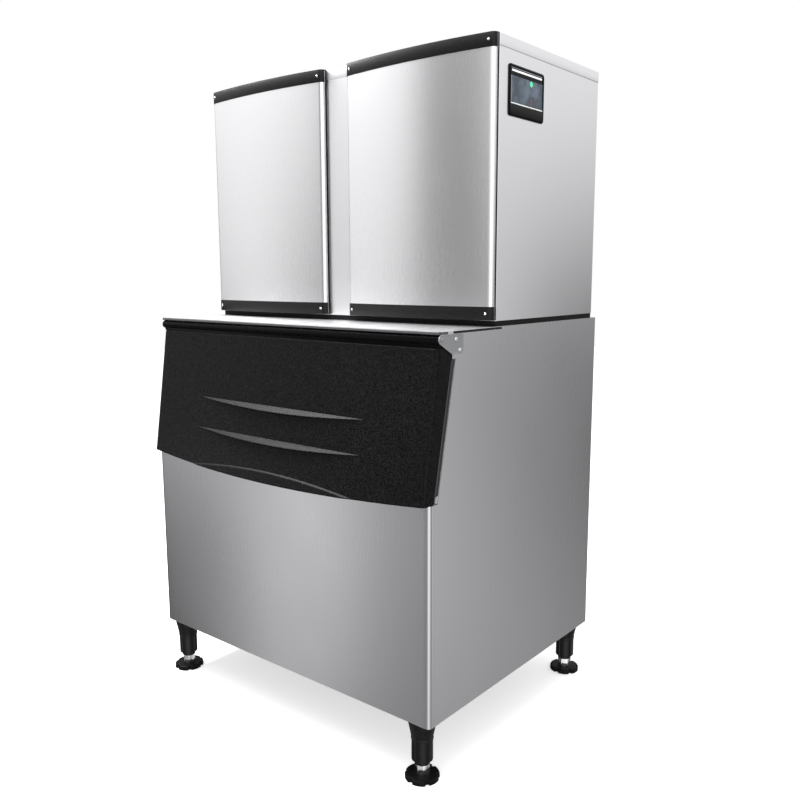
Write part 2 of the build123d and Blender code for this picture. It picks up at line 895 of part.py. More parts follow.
def bowed_plan(x0, x1, inset):
    """Plan outline of a front panel: a bowed face between two rounded ends."""
    low, high = x0 + inset, x1 - inset
    face_y = panel_face_y + inset
    middle = (low + high) / 2
    outline = make_face(
        Line((low, panel_back_y), (low, face_y))
        + ThreePointArc((low, face_y), (middle, face_y - panel_bow), (high, face_y))
        + Line((high, face_y), (high, panel_back_y))
        + Line((high, panel_back_y), (low, panel_back_y))
    )
    front = outline.vertices().sort_by(Axis.Y)[:2]
    return fillet(front, panel_corner - inset)


def panel_point(x, x0, x1, inset):
    """Point and outward direction on the arc of bowed_plan, at x."""
    half = (x1 - x0) / 2 - inset
    radius = (half ** 2 + panel_bow ** 2) / (2 * panel_bow)
    away = x - (x0 + x1) / 2
    back = math.sqrt(radius ** 2 - away ** 2)
    y = panel_face_y + inset - panel_bow + radius - back
    return y, (away / radius, -back / radius, 0)


def build_front_panels():
    """Two bowed stainless panels, each with a black cap at its top and bottom."""
    low = head_bottom + panel_bottom_gap
    high = head_top
    x0, x1 = panel_gap / 2, half_width
    proud = cap_wall + cap_fit
    ends = (x0 + proud, x1 - proud)
    skin = plan_prism(
        bowed_plan(*ends, 0) - bowed_plan(*ends, panel_sheet), low + cap_end, high - cap_end
    )
    screws = []
    for place, z0, z1 in (("bottom", low, low + cap_height), ("top", high - cap_height, high)):
        cap = plan_prism(bowed_plan(*ends, -proud), z0, z1)
        inner_low = z0 + cap_end if place == "bottom" else z0 - 1
        inner_high = z1 - cap_end if place == "top" else z1 + 1
        cap -= plan_prism(bowed_plan(*ends, -cap_fit), inner_low, inner_high)
        for x in (x0 + screw_inset, x1 - screw_inset):
            face_y, outward = panel_point(x, *ends, -proud)
            seat = Vector(x, face_y, (z0 + z1) / 2)
            axis = Vector(*outward)
            hole = rod(screw_hole_radius, seat - axis * screw_grip, seat + axis)
            cap -= hole
            skin -= hole
            screws.append(pan_screw(seat, axis, screw_grip))
        parts["panel_cap_" + place + "_right"] = cap
        parts["panel_cap_" + place + "_left"] = mirrored(cap)
    parts["front_panel_right"] = skin
    parts["front_panel_left"] = mirrored(skin)
    parts["cap_screws"] = both_sides(screws)


def build_display():
    """Display frame let into the right side panel, with its screen."""
    span_y, span_z = display_size
    mid_y, mid_z = display_centre
    plane = Plane(origin=(half_width, mid_y, mid_z), x_dir=(0, 1, 0), z_dir=(1, 0, 0))
    outer = extrude(plane * RectangleRounded(span_y, span_z, display_corner), amount=display_frame_depth)
    outer = chamfer(outer.faces().sort_by(Axis.X)[-1].edges(), display_chamfer)
    inset = display_frame_border / 2 + seat_gap
    tub = extrude(
        plane * Rectangle(span_y - 2 * inset, span_z - 2 * inset), amount=-display_tub
    )
    frame = outer + tub
    screen_y = span_y - 2 * display_frame_border
    screen_z = span_z - 2 * display_frame_border - display_bar
    spot = plane * Pos(0, display_bar / 2, 0)
    well = extrude(spot * Rectangle(screen_y, screen_z), amount=display_frame_depth)
    frame -= well
    parts["display_frame"] = frame
    parts["display_screen"] = extrude(
        spot * Rectangle(screen_y - 2 * seat_gap, screen_z - 2 * seat_gap),
        amount=display_frame_depth - screen_recess,
    )


# Inside the head

def build_evaporator(name, x_mid):
    """Cube evaporator: a plate with crossing fins in a frame that carries the curtain."""
    half = evaporator_width / 2
    low = evaporator_bottom_z
    high = low + evaporator_height
    back = evaporator_back_y
    front = back - evaporator_plate - evaporator_depth
    grid = block(x_mid - half, x_mid + half, front, back, low, high)
    cell_x = (evaporator_width - fin) / evaporator_columns
    cell_z = (evaporator_height - fin) / evaporator_rows
    pocket = Box(cell_x - fin, evaporator_depth, cell_z - fin)
    centres = [
        Pos(
            x_mid - half + fin / 2 + cell_x * (column + 0.5),
            front + evaporator_depth / 2,
            low + fin / 2 + cell_z * (row + 0.5),
        )
        for column in range(evaporator_columns)
        for row in range(evaporator_rows)
    ]
    grid -= [place * pocket for place in centres]

    pivot_y_here = front - curtain_pivot_gap
    pivot_z_here = high + frame_top_rise - curtain_pivot_drop
    for side in (-1, 1):
        x_in = x_mid + side * half
        x_out = x_mid + side * (half + frame_side)
        cheek = side_prism(
            [
                (pivot_y_here - cheek_margin, pivot_z_here - cheek_margin),
                (pivot_y_here - cheek_margin, high + frame_top_rise),
                (head_rear_y - 2 * sheet, high + frame_top_rise),
                (head_rear_y - 2 * sheet, low - cheek_foot),
                (front, low - cheek_foot),
                (front, pivot_z_here - cheek_margin),
            ],
            min(x_in, x_out),
            max(x_in, x_out),
        )
        cheek -= rod(
            curtain_pin_radius + pin_clearance,
            (min(x_in, x_out) - 1, pivot_y_here, pivot_z_here),
            (max(x_in, x_out) + 1, pivot_y_here, pivot_z_here),
        )
        grid += cheek
    parts["evaporator_" + name] = grid

    span = half - seat_gap * 3
    tube = rod(
        curtain_tube_radius,
        (x_mid - span, pivot_y_here, pivot_z_here),
        (x_mid + span, pivot_y_here, pivot_z_here),
    )
    tube += rod(
        curtain_pin_radius,
        (x_mid - half - frame_side + 1, pivot_y_here, pivot_z_here),
        (x_mid + half + frame_side - 1, pivot_y_here, pivot_z_here),
    )
    foot_z = pivot_z_here - curtain_drop
    y_hang = pivot_y_here
    bend_z = foot_z + 3 * curtain_curve
    profile = make_face(
        Polyline(
            (y_hang - curtain_sheet / 2, pivot_z_here),
            (y_hang + curtain_sheet / 2, pivot_z_here),
            (y_hang + curtain_sheet / 2, bend_z),
            (y_hang + curtain_curve, foot_z),
            (y_hang + curtain_curve - curtain_sheet, foot_z - 1),
            (y_hang - curtain_sheet / 2, bend_z - 1),
            close=True,
        )
    )
    sheet_face = Plane(origin=(x_mid - span, 0, 0), x_dir=(0, 1, 0), z_dir=(1, 0, 0)) * profile
    curtain = tube + extrude(sheet_face, amount=2 * span, dir=(1, 0, 0))
    parts["water_curtain_" + name] = curtain

    bar_z = high + distributor_radius + seat_gap
    bar_y = front + evaporator_depth / 2
    pipe = rod(
        distributor_radius, (x_mid - half + seat_gap, bar_y, bar_z), (x_mid + half - seat_gap, bar_y, bar_z)
    )
    pipe -= rod(
        distributor_radius - distributor_wall,
        (x_mid - half + distributor_end, bar_y, bar_z),
        (x_mid + half - distributor_end, bar_y, bar_z),
    )
    return pipe


def build_ice_side():
    """Evaporators with their curtains, water distributors, trough and pump."""
    pipes = [build_evaporator(name, x) for name, x in zip(("left", "right"), evaporator_centres)]
    parts["water_distributors"] = pipes[0] + pipes[1]

    depth, height = trough_size
    x0 = -inner_half + seat_gap
    x1 = compartment_x - seat_gap
    y1 = head_rear_y - 2 * sheet - seat_gap
    y0 = y1 - depth
    z0 = trough_bottom_z
    trough = block(x0, x1, y0, y1, z0, z0 + height)
    trough = fillet(trough.edges().filter_by(Axis.X).group_by(Axis.Z)[0], trough_round)
    hollow = block(
        x0 + trough_wall,
        x1 - trough_wall,
        y0 + trough_wall,
        y1 - trough_wall,
        z0 + trough_wall,
        z0 + through,
    )
    hollow = fillet(
        hollow.edges().filter_by(Axis.X).group_by(Axis.Z)[0], trough_round - trough_wall
    )
    parts["water_trough"] = trough - hollow

    pump_x = compartment_x - pump_radius - pump_clearance
    pump_y = (y0 + y1) / 2
    foot = z0 + trough_wall
    neck_z = foot + pump_base
    motor_z = foot + pump_neck_top
    pump = rod(pump_radius, (pump_x, pump_y, foot), (pump_x, pump_y, neck_z))
    pump += rod(pump_neck_radius, (pump_x, pump_y, neck_z), (pump_x, pump_y, motor_z))
    pump += rod(
        pump_motor_radius, (pump_x, pump_y, motor_z), (pump_x, pump_y, foot + pump_height)
    )
    parts["water_pump"] = pump

    wall_z0 = base_floor
    dividing = block(
        compartment_x,
        compartment_x + sheet,
        head_front_y + 2 * sheet + base_sheet,
        head_rear_y - 2 * sheet - base_sheet,
        wall_z0,
        head_top - 3 * sheet,
    )
    parts["compartment_wall"] = dividing


def build_machine_side():
    """Compressor, condenser coil, fan with its motor and shroud, control box."""
    x, y = compressor_place
    r = compressor_radius
    foot = base_floor + compressor_foot_height
    can = extrude(Pos(0, 0, foot) * Circle(r), amount=compressor_height)
    can = fillet(can.edges().group_by(Axis.Z)[-1], compressor_crown)
    can = fillet(can.edges().group_by(Axis.Z)[0], compressor_crown / 3)
    width, corner, thickness = compressor_plate
    feet = extrude(Pos(0, 0, foot) * RectangleRounded(width, width, corner), amount=thickness)
    for foot_x in (-compressor_foot_reach, compressor_foot_reach):
        for foot_y in (-compressor_foot_reach, compressor_foot_reach):
            feet += rod(
                compressor_foot_radius, (foot_x, foot_y, base_floor), (foot_x, foot_y, foot)
            )
    parts["compressor"] = Pos(x, y, 0) * (can + feet)

    cx, cy, cz = coil_centre
    width, depth, height = coil_size
    comb = block(cx - width / 2, cx + width / 2, cy - depth / 2, cy + depth / 2, cz - height / 2, cz + height / 2)
    pitch = width / coil_fins
    gap = Box(pitch - coil_fin_sheet, depth, height - 2 * coil_tank)
    comb -= [
        Pos(cx - width / 2 + pitch * (index + 0.5), cy - coil_back, cz) * gap
        for index in range(coil_fins)
    ]
    legs_z = base_floor
    for side in (-1, 1):
        comb += block(
            cx + side * width / 2 - coil_leg,
            cx + side * width / 2 + coil_leg,
            cy - depth / 2,
            cy + depth / 2,
            legs_z,
            cz + height / 2,
        )
    parts["condenser_coil"] = comb

    face_y = cy + depth / 2
    hole = fan_radius + shroud_clearance
    shroud = block(
        cx - width / 2, cx + width / 2, face_y, face_y + shroud_depth, cz - height / 2, cz + height / 2
    )
    shroud -= block(
        cx - width / 2 + shroud_sheet,
        cx + width / 2 - shroud_sheet,
        face_y - 1,
        face_y + shroud_depth - shroud_sheet,
        cz - height / 2 + shroud_sheet,
        cz + height / 2 - shroud_sheet,
    )
    shroud -= rod(hole, (cx, face_y, cz), (cx, face_y + through, cz))
    parts["fan_shroud"] = shroud

    blade_y = face_y + shroud_depth - fan_width
    motor_y = blade_y + fan_width + motor_gap
    motor = rod(motor_radius, (cx, motor_y, cz), (cx, motor_y + motor_length, cz))
    arm_y = face_y + shroud_depth
    reach = width / 2 - coil_leg
    low, high = cz - motor_arm_half, cz + motor_arm_half
    back_y = arm_y + motor_gap + motor_arm
    motor += block(cx - reach, cx + reach, arm_y + motor_gap, back_y, low, high)
    for side in (-1, 1):
        foot_x = cx + side * (reach - motor_arm_foot)
        motor += block(foot_x - motor_arm_foot, foot_x + motor_arm_foot, arm_y, back_y, low, high)
    shaft_y = blade_y + fan_shaft_cap + seat_gap
    motor += rod(fan_shaft_radius, (cx, shaft_y, cz), (cx, motor_y + 1, cz))
    parts["fan_motor"] = motor

    hub = rod(fan_hub_radius, (cx, blade_y, cz), (cx, blade_y + fan_width, cz))
    fan = hub
    for index in range(fan_blades):
        sections = []
        for height, (chord, pitch) in ((fan_hub_radius - blade_sink, blade_root), (fan_radius, blade_tip)):
            place = Plane(origin=(0, 0, height), x_dir=Vector(1, pitch, 0), z_dir=(0, 0, 1))
            sections.append(place * Rectangle(chord, blade_sheet))
        blade = loft(sections)
        turn = Rot(0, 360 / fan_blades * index, 0)
        fan += Pos(cx, blade_y + fan_width / 2, cz) * turn * blade
    fan -= rod(
        fan_shaft_radius + pin_clearance,
        (cx, blade_y + fan_shaft_cap, cz),
        (cx, blade_y + through, cz),
    )
    parts["fan_blade"] = fan

    bw, bd, bh = control_box_size
    mid_y, mid_z = display_centre
    box_x1 = inner_half - seat_gap
    span_z = display_size[1]
    box = block(box_x1 - bw, box_x1, mid_y - bd / 2, mid_y + bd / 2, mid_z - bh / 2, mid_z + bh / 2)
    box -= block(
        box_x1 - bw + sheet * 2,
        box_x1 + 1,
        mid_y - display_size[0] / 2,
        mid_y + display_size[0] / 2,
        mid_z - span_z / 2,
        mid_z + span_z / 2,
    )
    parts["control_box"] = box


def main():
    """Build every piece, centre the model on its bounding box and write the files."""
    build_bin_shell()
    build_bin_inside()
    build_deck()
    build_hinges()
    build_door()
    build_legs()
    build_head_case()
    build_front_panels()
    build_display()
    build_ice_side()
    build_machine_side()
    boxes = [shape.bounding_box() for shape in parts.values()]
    middle = (min(box.min.Y for box in boxes) + max(box.max.Y for box in boxes)) / 2
    print("moved along y by", -middle)
    os.makedirs("parts", exist_ok=True)
    for name, shape in parts.items():
        export_step(Pos(0, -middle, 0) * shape, "parts/" + name + ".step")


main()
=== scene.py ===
"""Looks of a modular ice machine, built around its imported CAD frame.

Sizes are millimetres from the bin's front panel (y = 0) and the floor (z = 0), as a
maker would measure them. The Bench turns them into the row frame, in metres.
"""

from __future__ import annotations

import json
import logging
import math
import sys
from dataclasses import dataclass, field
from enum import Enum
from functools import reduce

import bmesh
import bpy
import numpy as np
from mathutils import Matrix, Vector

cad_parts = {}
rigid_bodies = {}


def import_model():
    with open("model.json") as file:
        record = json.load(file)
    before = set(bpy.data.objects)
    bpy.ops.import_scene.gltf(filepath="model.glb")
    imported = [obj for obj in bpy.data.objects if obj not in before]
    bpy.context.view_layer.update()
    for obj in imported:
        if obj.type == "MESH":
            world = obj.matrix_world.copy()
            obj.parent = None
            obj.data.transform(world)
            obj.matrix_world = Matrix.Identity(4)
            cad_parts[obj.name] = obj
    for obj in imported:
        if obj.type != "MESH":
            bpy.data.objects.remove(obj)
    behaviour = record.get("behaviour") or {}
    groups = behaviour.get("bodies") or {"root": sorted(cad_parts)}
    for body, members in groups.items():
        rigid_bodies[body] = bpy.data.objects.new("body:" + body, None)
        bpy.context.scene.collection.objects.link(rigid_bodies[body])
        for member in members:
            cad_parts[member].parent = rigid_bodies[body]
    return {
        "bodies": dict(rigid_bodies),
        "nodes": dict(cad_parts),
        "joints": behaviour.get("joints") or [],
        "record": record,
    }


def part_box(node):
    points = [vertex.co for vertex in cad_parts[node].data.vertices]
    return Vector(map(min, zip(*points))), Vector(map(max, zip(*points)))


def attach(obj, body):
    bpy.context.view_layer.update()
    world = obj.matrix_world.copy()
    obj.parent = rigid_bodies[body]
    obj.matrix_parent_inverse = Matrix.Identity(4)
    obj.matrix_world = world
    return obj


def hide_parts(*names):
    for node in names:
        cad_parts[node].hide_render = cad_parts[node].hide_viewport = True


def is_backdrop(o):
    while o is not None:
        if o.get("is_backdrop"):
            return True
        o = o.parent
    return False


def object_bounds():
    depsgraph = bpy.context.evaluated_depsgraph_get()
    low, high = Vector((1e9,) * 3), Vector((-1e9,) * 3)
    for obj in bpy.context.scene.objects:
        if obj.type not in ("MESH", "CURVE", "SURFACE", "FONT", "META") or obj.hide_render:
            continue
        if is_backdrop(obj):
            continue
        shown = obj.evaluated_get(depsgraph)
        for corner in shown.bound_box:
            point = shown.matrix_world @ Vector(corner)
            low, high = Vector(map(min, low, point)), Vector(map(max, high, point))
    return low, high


LOG = logging.getLogger("ice_machine")
SIDES = {"right": 1.0, "left": -1.0}
WHITE = (1.0, 1.0, 1.0, 1.0)
MILLIMETRE = 0.001


class Grain(Enum):
    """Direction in which a steel sheet was brushed.

    The value says how closely the brushed lines are packed along each axis.
    """

    ALONG_X = (0.6, 60.0, 60.0)
    ALONG_Y = (60.0, 0.6, 60.0)
    ALONG_Z = (60.0, 60.0, 0.6)


# Surfaces


@dataclass
class Surface:
    """Points with the faces between them."""

    points: np.ndarray
    quads: np.ndarray
    caps: list[list[int]] = field(default_factory=list)

    def __add__(self, other: Surface) -> Surface:
        """Both surfaces as one."""
        shift = len(self.points)
        caps = self.caps + [[index + shift for index in cap] for cap in other.caps]
        quads = np.concatenate([self.quads, other.quads + shift])
        return Surface(np.concatenate([self.points, other.points]), quads, caps)

    def mirrored(self) -> Surface:
        """The same surface on the other side of x = 0."""
        return Surface(self.points * (-1.0, 1.0, 1.0), self.quads, self.caps)

    def for_side(self, sign: float) -> Surface:
        """The surface itself for the right side, where sign is 1, or mirrored for the left."""
        return self if sign > 0 else self.mirrored()

    def doubled(self) -> Surface:
        """The surface and its mirror image as one."""
        return self + self.mirrored()

    def turned(self, axis: str, degrees: float) -> Surface:
        """The surface turned about an axis through the origin."""
        turn = np.array(Matrix.Rotation(math.radians(degrees), 3, axis))
        return Surface(self.points @ turn.T, self.quads, self.caps)

    def moved(self, x: float, y: float, z: float) -> Surface:
        """The surface moved by a distance along each axis."""
        return Surface(self.points + (x, y, z), self.quads, self.caps)


def grid_quads(rows: int, columns: int, wrap: bool) -> np.ndarray:
    """Index quads between neighbouring points of a grid whose rows close on themselves.

    Args:
        rows: number of rows of points.
        columns: number of points in a row.
        wrap: whether the last row joins the first.

    Returns:
        Array of shape (faces, 4).
    """
    row = np.arange(rows if wrap else rows - 1)
    a, b = np.meshgrid(row, np.arange(columns), indexing="ij")
    c, d = (a + 1) % rows, (b + 1) % columns
    stacked = np.stack([a * columns + b, a * columns + d, c * columns + d, c * columns + b], -1)
    return stacked.reshape(-1, 4)


def loft(loops: np.ndarray, ring: bool = False) -> Surface:
    """Closed surface through closed loops of equal length.

    Args:
        loops: array of shape (loops, points, 3).
        ring: joins the last loop to the first instead of capping both ends.

    Returns:
        The surface, with a flat cap on its first and last loop unless it is a ring.
    """
    rows, columns = loops.shape[:2]
    quads = grid_quads(rows, columns, ring)
    caps = [] if ring else [list(range(columns)), list(range((rows - 1) * columns, rows * columns))]
    return Surface(loops.reshape(-1, 3), quads, caps)


def joined(surfaces: list[Surface]) -> Surface:
    """Several surfaces as one."""
    return reduce(Surface.__add__, surfaces)


def directions(count: int) -> np.ndarray:
    """Angles in radians, evenly round a whole turn."""
    return np.linspace(0, 2 * np.pi, count, endpoint=False)


def at_height(outline: np.ndarray, height: float) -> np.ndarray:
    """An outline in x and y as a loop at one height."""
    return np.column_stack([outline, np.full(len(outline), height)])


def at_x(outline: np.ndarray, x: float) -> np.ndarray:
    """An outline in y and z as a loop at one x."""
    return np.column_stack([np.full(len(outline), x), outline])


def sheet_metal(path: np.ndarray, thickness: float, low: float, high: float) -> Surface:
    """Upright folded sheet: a path in plan, its offset to the left, between two heights.

    The offset of a point lies one thickness along the normal of the path there, which is
    the direction between its two neighbours turned a quarter.

    Args:
        path: array of shape (points, 2), the outer face in plan.
        thickness: of the sheet.
        low: height of its bottom edge.
        high: height of its top edge.

    Returns:
        A closed surface.
    """
    along = np.gradient(path, axis=0)
    along /= np.linalg.norm(along, axis=1, keepdims=True)
    inner = path + np.stack([-along[:, 1], along[:, 0]], 1) * thickness
    corners = ((path, low), (path, high), (inner, high), (inner, low))
    return loft(np.stack([at_height(plan, z) for plan, z in corners], axis=1))


def arc(centre: tuple[float, float], radius: float, start: float, end: float,
        count: int) -> np.ndarray:
    """Points on a circle's arc: centre + radius (cos t, sin t), t in degrees.

    Args:
        centre: of the circle.
        radius: of the circle.
        start: first angle in degrees.
        end: last angle in degrees.
        count: number of points.

    Returns:
        Array of shape (count, 2).
    """
    angle = np.radians(np.linspace(start, end, count))
    return np.stack([centre[0] + radius * np.cos(angle), centre[1] + radius * np.sin(angle)], 1)


def rounded_rectangle(width: float, height: float, radius: float, steps: int = 8) -> np.ndarray:
    """Closed outline of a rectangle with round corners, counterclockwise about 0, 0.

    Args:
        width: along the first axis.
        height: along the second axis.
        radius: of the corners.
        steps: points on each corner.

    Returns:
        Array of shape (4 * steps, 2).
    """
    x, y = width / 2 - radius, height / 2 - radius
    corners = (((x, -y), -90), ((x, y), 0), ((-x, y), 90), ((-x, -y), 180))
    return np.concatenate([arc(corner, radius, turn, turn + 90, steps) for corner, turn in corners])


def hull_of_circles(circles: np.ndarray, count: int = 160) -> np.ndarray:
    """Outline of a band pulled round circles.

    For each direction it takes the circle that reaches farthest, and that circle's point.

    Args:
        circles: array of (x, y, radius).
        count: number of directions.

    Returns:
        Array of shape (count, 2).
    """
    angle = directions(count)
    out = np.stack([np.cos(angle), np.sin(angle)], 1)
    best = np.argmax(out @ circles[:, :2].T + circles[:, 2], axis=1)
    return circles[best, :2] + circles[best, 2:] * out


def inset(outline: np.ndarray, distance: float) -> np.ndarray:
    """Closed counterclockwise outline moved inwards along its normals.

    Args:
        outline: array of shape (points, 2).
        distance: by which it moves.

    Returns:
        Array of the same shape.
    """
    least = 1e-9
    along = np.roll(outline, -1, 0) - np.roll(outline, 1, 0)
    along /= np.maximum(np.linalg.norm(along, axis=1, keepdims=True), least)
    return outline + np.stack([-along[:, 1], along[:, 0]], 1) * distance


def plate(outline: np.ndarray, steps: list[tuple[float, float]]) -> np.ndarray:
    """Loops of a plate: its outline inset by each step's first number, at the second's height."""
    return np.stack([at_height(inset(outline, depth), height) for depth, height in steps])


def swept(outline: np.ndarray, half: float, length: float, depth: float) -> Surface:
    """Bar of one section along x, from -half to half, with chamfered ends.

    Args:
        outline: the section in y and z.
        half: half the bar's length.
        length: of the chamfers, along x.
        depth: of the chamfers, into the section.

    Returns:
        A closed surface.
    """
    places = ((-half, depth), (-half + length, 0.0), (half - length, 0.0), (half, depth))
    return loft(np.stack([at_x(inset(outline, into), x) for x, into in places]))


def ring_loops(angle: np.ndarray, rings: list[tuple[np.ndarray | float, float]]) -> np.ndarray:
    """Loops round the z axis.

    Args:
        angle: directions of a loop's points, in radians.
        rings: each loop's radius, one number or one for each direction, and its height.

    Returns:
        Array of shape (rings, points, 3).
    """
    return np.stack([
        np.stack([radius * np.cos(angle), radius * np.sin(angle), height + 0 * angle], 1)
        for radius, height in rings
    ])


def revolved(profile: np.ndarray, count: int = 64) -> np.ndarray:
    """Loops of (radius, height) pairs turned round the z axis."""
    return ring_loops(directions(count), profile)


# Finishes


class Wiring:
    """The nodes of one material, or of the room's light.

    The mix node has sockets for every kind of value, so the share, the two colours and the
    colour that comes out go by their places.
    """

    mix_inputs = (0, 6, 7)
    mix_output = 2

    def __init__(self, owner: bpy.types.Material | bpy.types.World, output: str) -> None:
        """Starts with nothing but one output.

        Args:
            owner: the material or world that the nodes belong to.
            output: kind of the output, Material or World.
        """
        owner.use_nodes = True
        self.tree = owner.node_tree
        self.tree.nodes.clear()
        self.output = self.node("Output" + output)

    def feed(self, socket: bpy.types.NodeSocket, value: object) -> None:
        """Links an output to an input, or gives the input a value.

        Args:
            socket: the input.
            value: an output socket, or the input's value.
        """
        if isinstance(value, bpy.types.NodeSocket):
            self.tree.links.new(value, socket)
        else:
            socket.default_value = value

    def node(self, kind: str, settings: dict | None = None, **sockets: object) -> bpy.types.Node:
        """Adds a node.

        Args:
            kind: the node's type, without "ShaderNode".
            settings: its own properties.
            sockets: inputs by name with _ for a space.

        Returns:
            The new node.
        """
        made = self.tree.nodes.new("ShaderNode" + kind)
        for key, value in (settings or {}).items():
            setattr(made, key, value)
        for key, value in sockets.items():
            self.feed(made.inputs[key.replace("_", " ")], value)
        return made

    def math(self, operation: str, *values: object) -> bpy.types.NodeSocket:
        """Result of an operation.

        Args:
            operation: the math node's own name for it.
            values: its inputs in order, numbers or output sockets.

        Returns:
            The socket of the result.
        """
        made = self.node("Math", {"operation": operation})
        for socket, value in zip(made.inputs, values):
            self.feed(socket, value)
        return made.outputs["Value"]

    def place(self, scale: tuple[float, float, float]) -> bpy.types.NodeSocket:
        """Object coordinates, stretched by a scale along each axis."""
        coordinates = self.node("TexCoord").outputs["Object"]
        return self.node("Mapping", Vector=coordinates, Scale=scale).outputs["Vector"]

    def noise(self, scale: tuple[float, float, float], detail: float = 2.0) -> bpy.types.NodeSocket:
        """Noise of one cell per metre along each axis, times the scale."""
        made = self.node("TexNoise", Vector=self.place(scale), Scale=1.0, Detail=detail)
        return made.outputs["Fac"]

    def ramp(self, value: bpy.types.NodeSocket, low: float, high: float, start: float = 0.3,
             end: float = 0.7, kind: str = "LINEAR") -> bpy.types.NodeSocket:
        """Maps a value between start and end to a result between low and high.

        Args:
            value: socket of the value.
            low: result up to the start.
            high: result from the end on.
            start: value where the result begins to change.
            end: value where it stops.
            kind: shape of the change.

        Returns:
            The socket of the result.
        """
        made = self.node("MapRange", {"interpolation_type": kind}, Value=value, From_Min=start,
                         From_Max=end, To_Min=low, To_Max=high)
        return made.outputs["Result"]

    def tint(self, share: bpy.types.NodeSocket, first: tuple[float, float, float],
             second: tuple[float, float, float]) -> bpy.types.NodeSocket:
        """Colour between two colours.

        Args:
            share: 0 for the first colour to 1 for the second.
            first: red, green and blue.
            second: red, green and blue.

        Returns:
            The socket of the colour.
        """
        made = self.node("Mix", {"data_type": "RGBA"})
        for index, value in zip(self.mix_inputs, (share, (*first, 1.0), (*second, 1.0))):
            self.feed(made.inputs[index], value)
        return made.outputs[self.mix_output]

    def bump(self, height: bpy.types.NodeSocket, depth: float) -> bpy.types.NodeSocket:
        """Normal bumped by a height from 0 to 1, over a depth in metres."""
        return self.node("Bump", Height=height, Distance=depth, Strength=1.0).outputs["Normal"]

    def finish(self, **sockets: object) -> None:
        """Ends the material in one principled shader with these inputs."""
        shader = self.node("BsdfPrincipled", **sockets)
        self.feed(self.output.inputs["Surface"], shader.outputs["BSDF"])


@dataclass(frozen=True)
class Finish:
    """What a surface is made of. Each kind lays its own nodes."""

    name: str
    color: tuple[float, float, float]
    roughness: float

    def shade(self, factor: float) -> tuple[float, float, float]:
        """The finish's colour times a factor."""
        return tuple(min(channel * factor, 1.0) for channel in self.color)

    @property
    def label(self) -> str:
        """Name of the material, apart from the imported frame's own slots."""
        return f"{self.name}_finish"

    def material(self) -> bpy.types.Material:
        """The Blender material, made at its first use.

        Returns:
            The material with its nodes.
        """
        made = bpy.data.materials.get(self.label)
        if made is None:
            made = bpy.data.materials.new(self.label)
            self.lay(Wiring(made, "Material"))
        return made

    def lay(self, wiring: Wiring) -> None:
        """Lays the material's nodes."""
        raise NotImplementedError


@dataclass(frozen=True)
class Steel(Finish):
    """Satin stainless sheet: fine brushed lines and faint clouds in its sheen."""

    grain: Grain
    depth: float = 0.000004
    clouds: float = 0.012
    packing: float = 25.0
    cloud_scale: tuple[float, float, float] = (3.1, 2.7, 2.3)
    line_sheen: float = 0.008
    dark: float = 0.99
    bright: float = 1.008

    def lay(self, wiring: Wiring) -> None:
        """Lays the material's nodes.

        Args:
            wiring: the material's, still empty.
        """
        lines = wiring.noise(tuple(value * self.packing for value in self.grain.value), 3.0)
        cloud = wiring.noise(self.cloud_scale)
        tone = wiring.ramp(lines, 0.0, 1.0)
        low, high = self.roughness - self.line_sheen, self.roughness + self.line_sheen
        fine = wiring.ramp(lines, low, high)
        soft = wiring.ramp(cloud, -self.clouds, self.clouds)
        wiring.finish(
            Base_Color=wiring.tint(tone, self.shade(self.dark), self.shade(self.bright)),
            Metallic=1.0,
            Roughness=wiring.math("ADD", fine, soft),
            Normal=wiring.bump(lines, self.depth),
        )


@dataclass(frozen=True)
class Moulded(Finish):
    """Moulded plastic or rubber with a fine grain over a slow change of tone."""

    grain_size: float
    depth: float
    fleck: float
    specular: float = 0.5
    # Glint gain: how far the light grain specks rise in the base colour; on the door they are
    # painted glints of the grained surface.
    painted_glint_gain: float = 1.0
    speck_start: float = 0.40
    speck_end: float = 0.66
    broad_scale: float = 2.0
    broad_low: float = 0.8
    grain_sheen: float = 0.05

    def lay(self, wiring: Wiring) -> None:
        """Lays the material's nodes.

        Args:
            wiring: the material's, still empty.
        """
        grain = wiring.noise((1 / self.grain_size,) * 3)
        broad = wiring.noise((self.broad_scale,) * 3, detail=1.0)
        specks = wiring.ramp(grain, 0.0, 1.0, self.speck_start, self.speck_end)
        tone = wiring.math("MULTIPLY", specks, wiring.ramp(broad, self.broad_low, 1.0))
        dark, bright = self.shade(1 - self.fleck), self.shade(1 + self.fleck * self.painted_glint_gain)
        low, high = self.roughness - self.grain_sheen, self.roughness + self.grain_sheen
        wiring.finish(
            Base_Color=wiring.tint(tone, dark, bright),
            Roughness=wiring.ramp(grain, low, high),
            Specular_IOR_Level=self.specular,
            Normal=wiring.bump(grain, self.depth),
        )


@dataclass(frozen=True)
class Polished(Finish):
    """Polished metal with a faint waviness and fine scuffs."""

    scuffs: float = 0.05
    scuff_scale: float = 900.0
    wave_scale: float = 35.0
    wave_depth: float = 0.00002
    dark: float = 0.96
    bright: float = 1.03

    def lay(self, wiring: Wiring) -> None:
        """Lays the material's nodes.

        Args:
            wiring: the material's, still empty.
        """
        scuff = wiring.noise((self.scuff_scale,) * 3, detail=3.0)
        wave = wiring.noise((self.wave_scale,) * 3, detail=1.0)
        wiring.finish(
            Base_Color=wiring.tint(wave, self.shade(self.dark), self.shade(self.bright)),
            Metallic=1.0,
            Roughness=wiring.ramp(scuff, self.roughness, self.roughness + self.scuffs),
            Normal=wiring.bump(wave, self.wave_depth),
        )


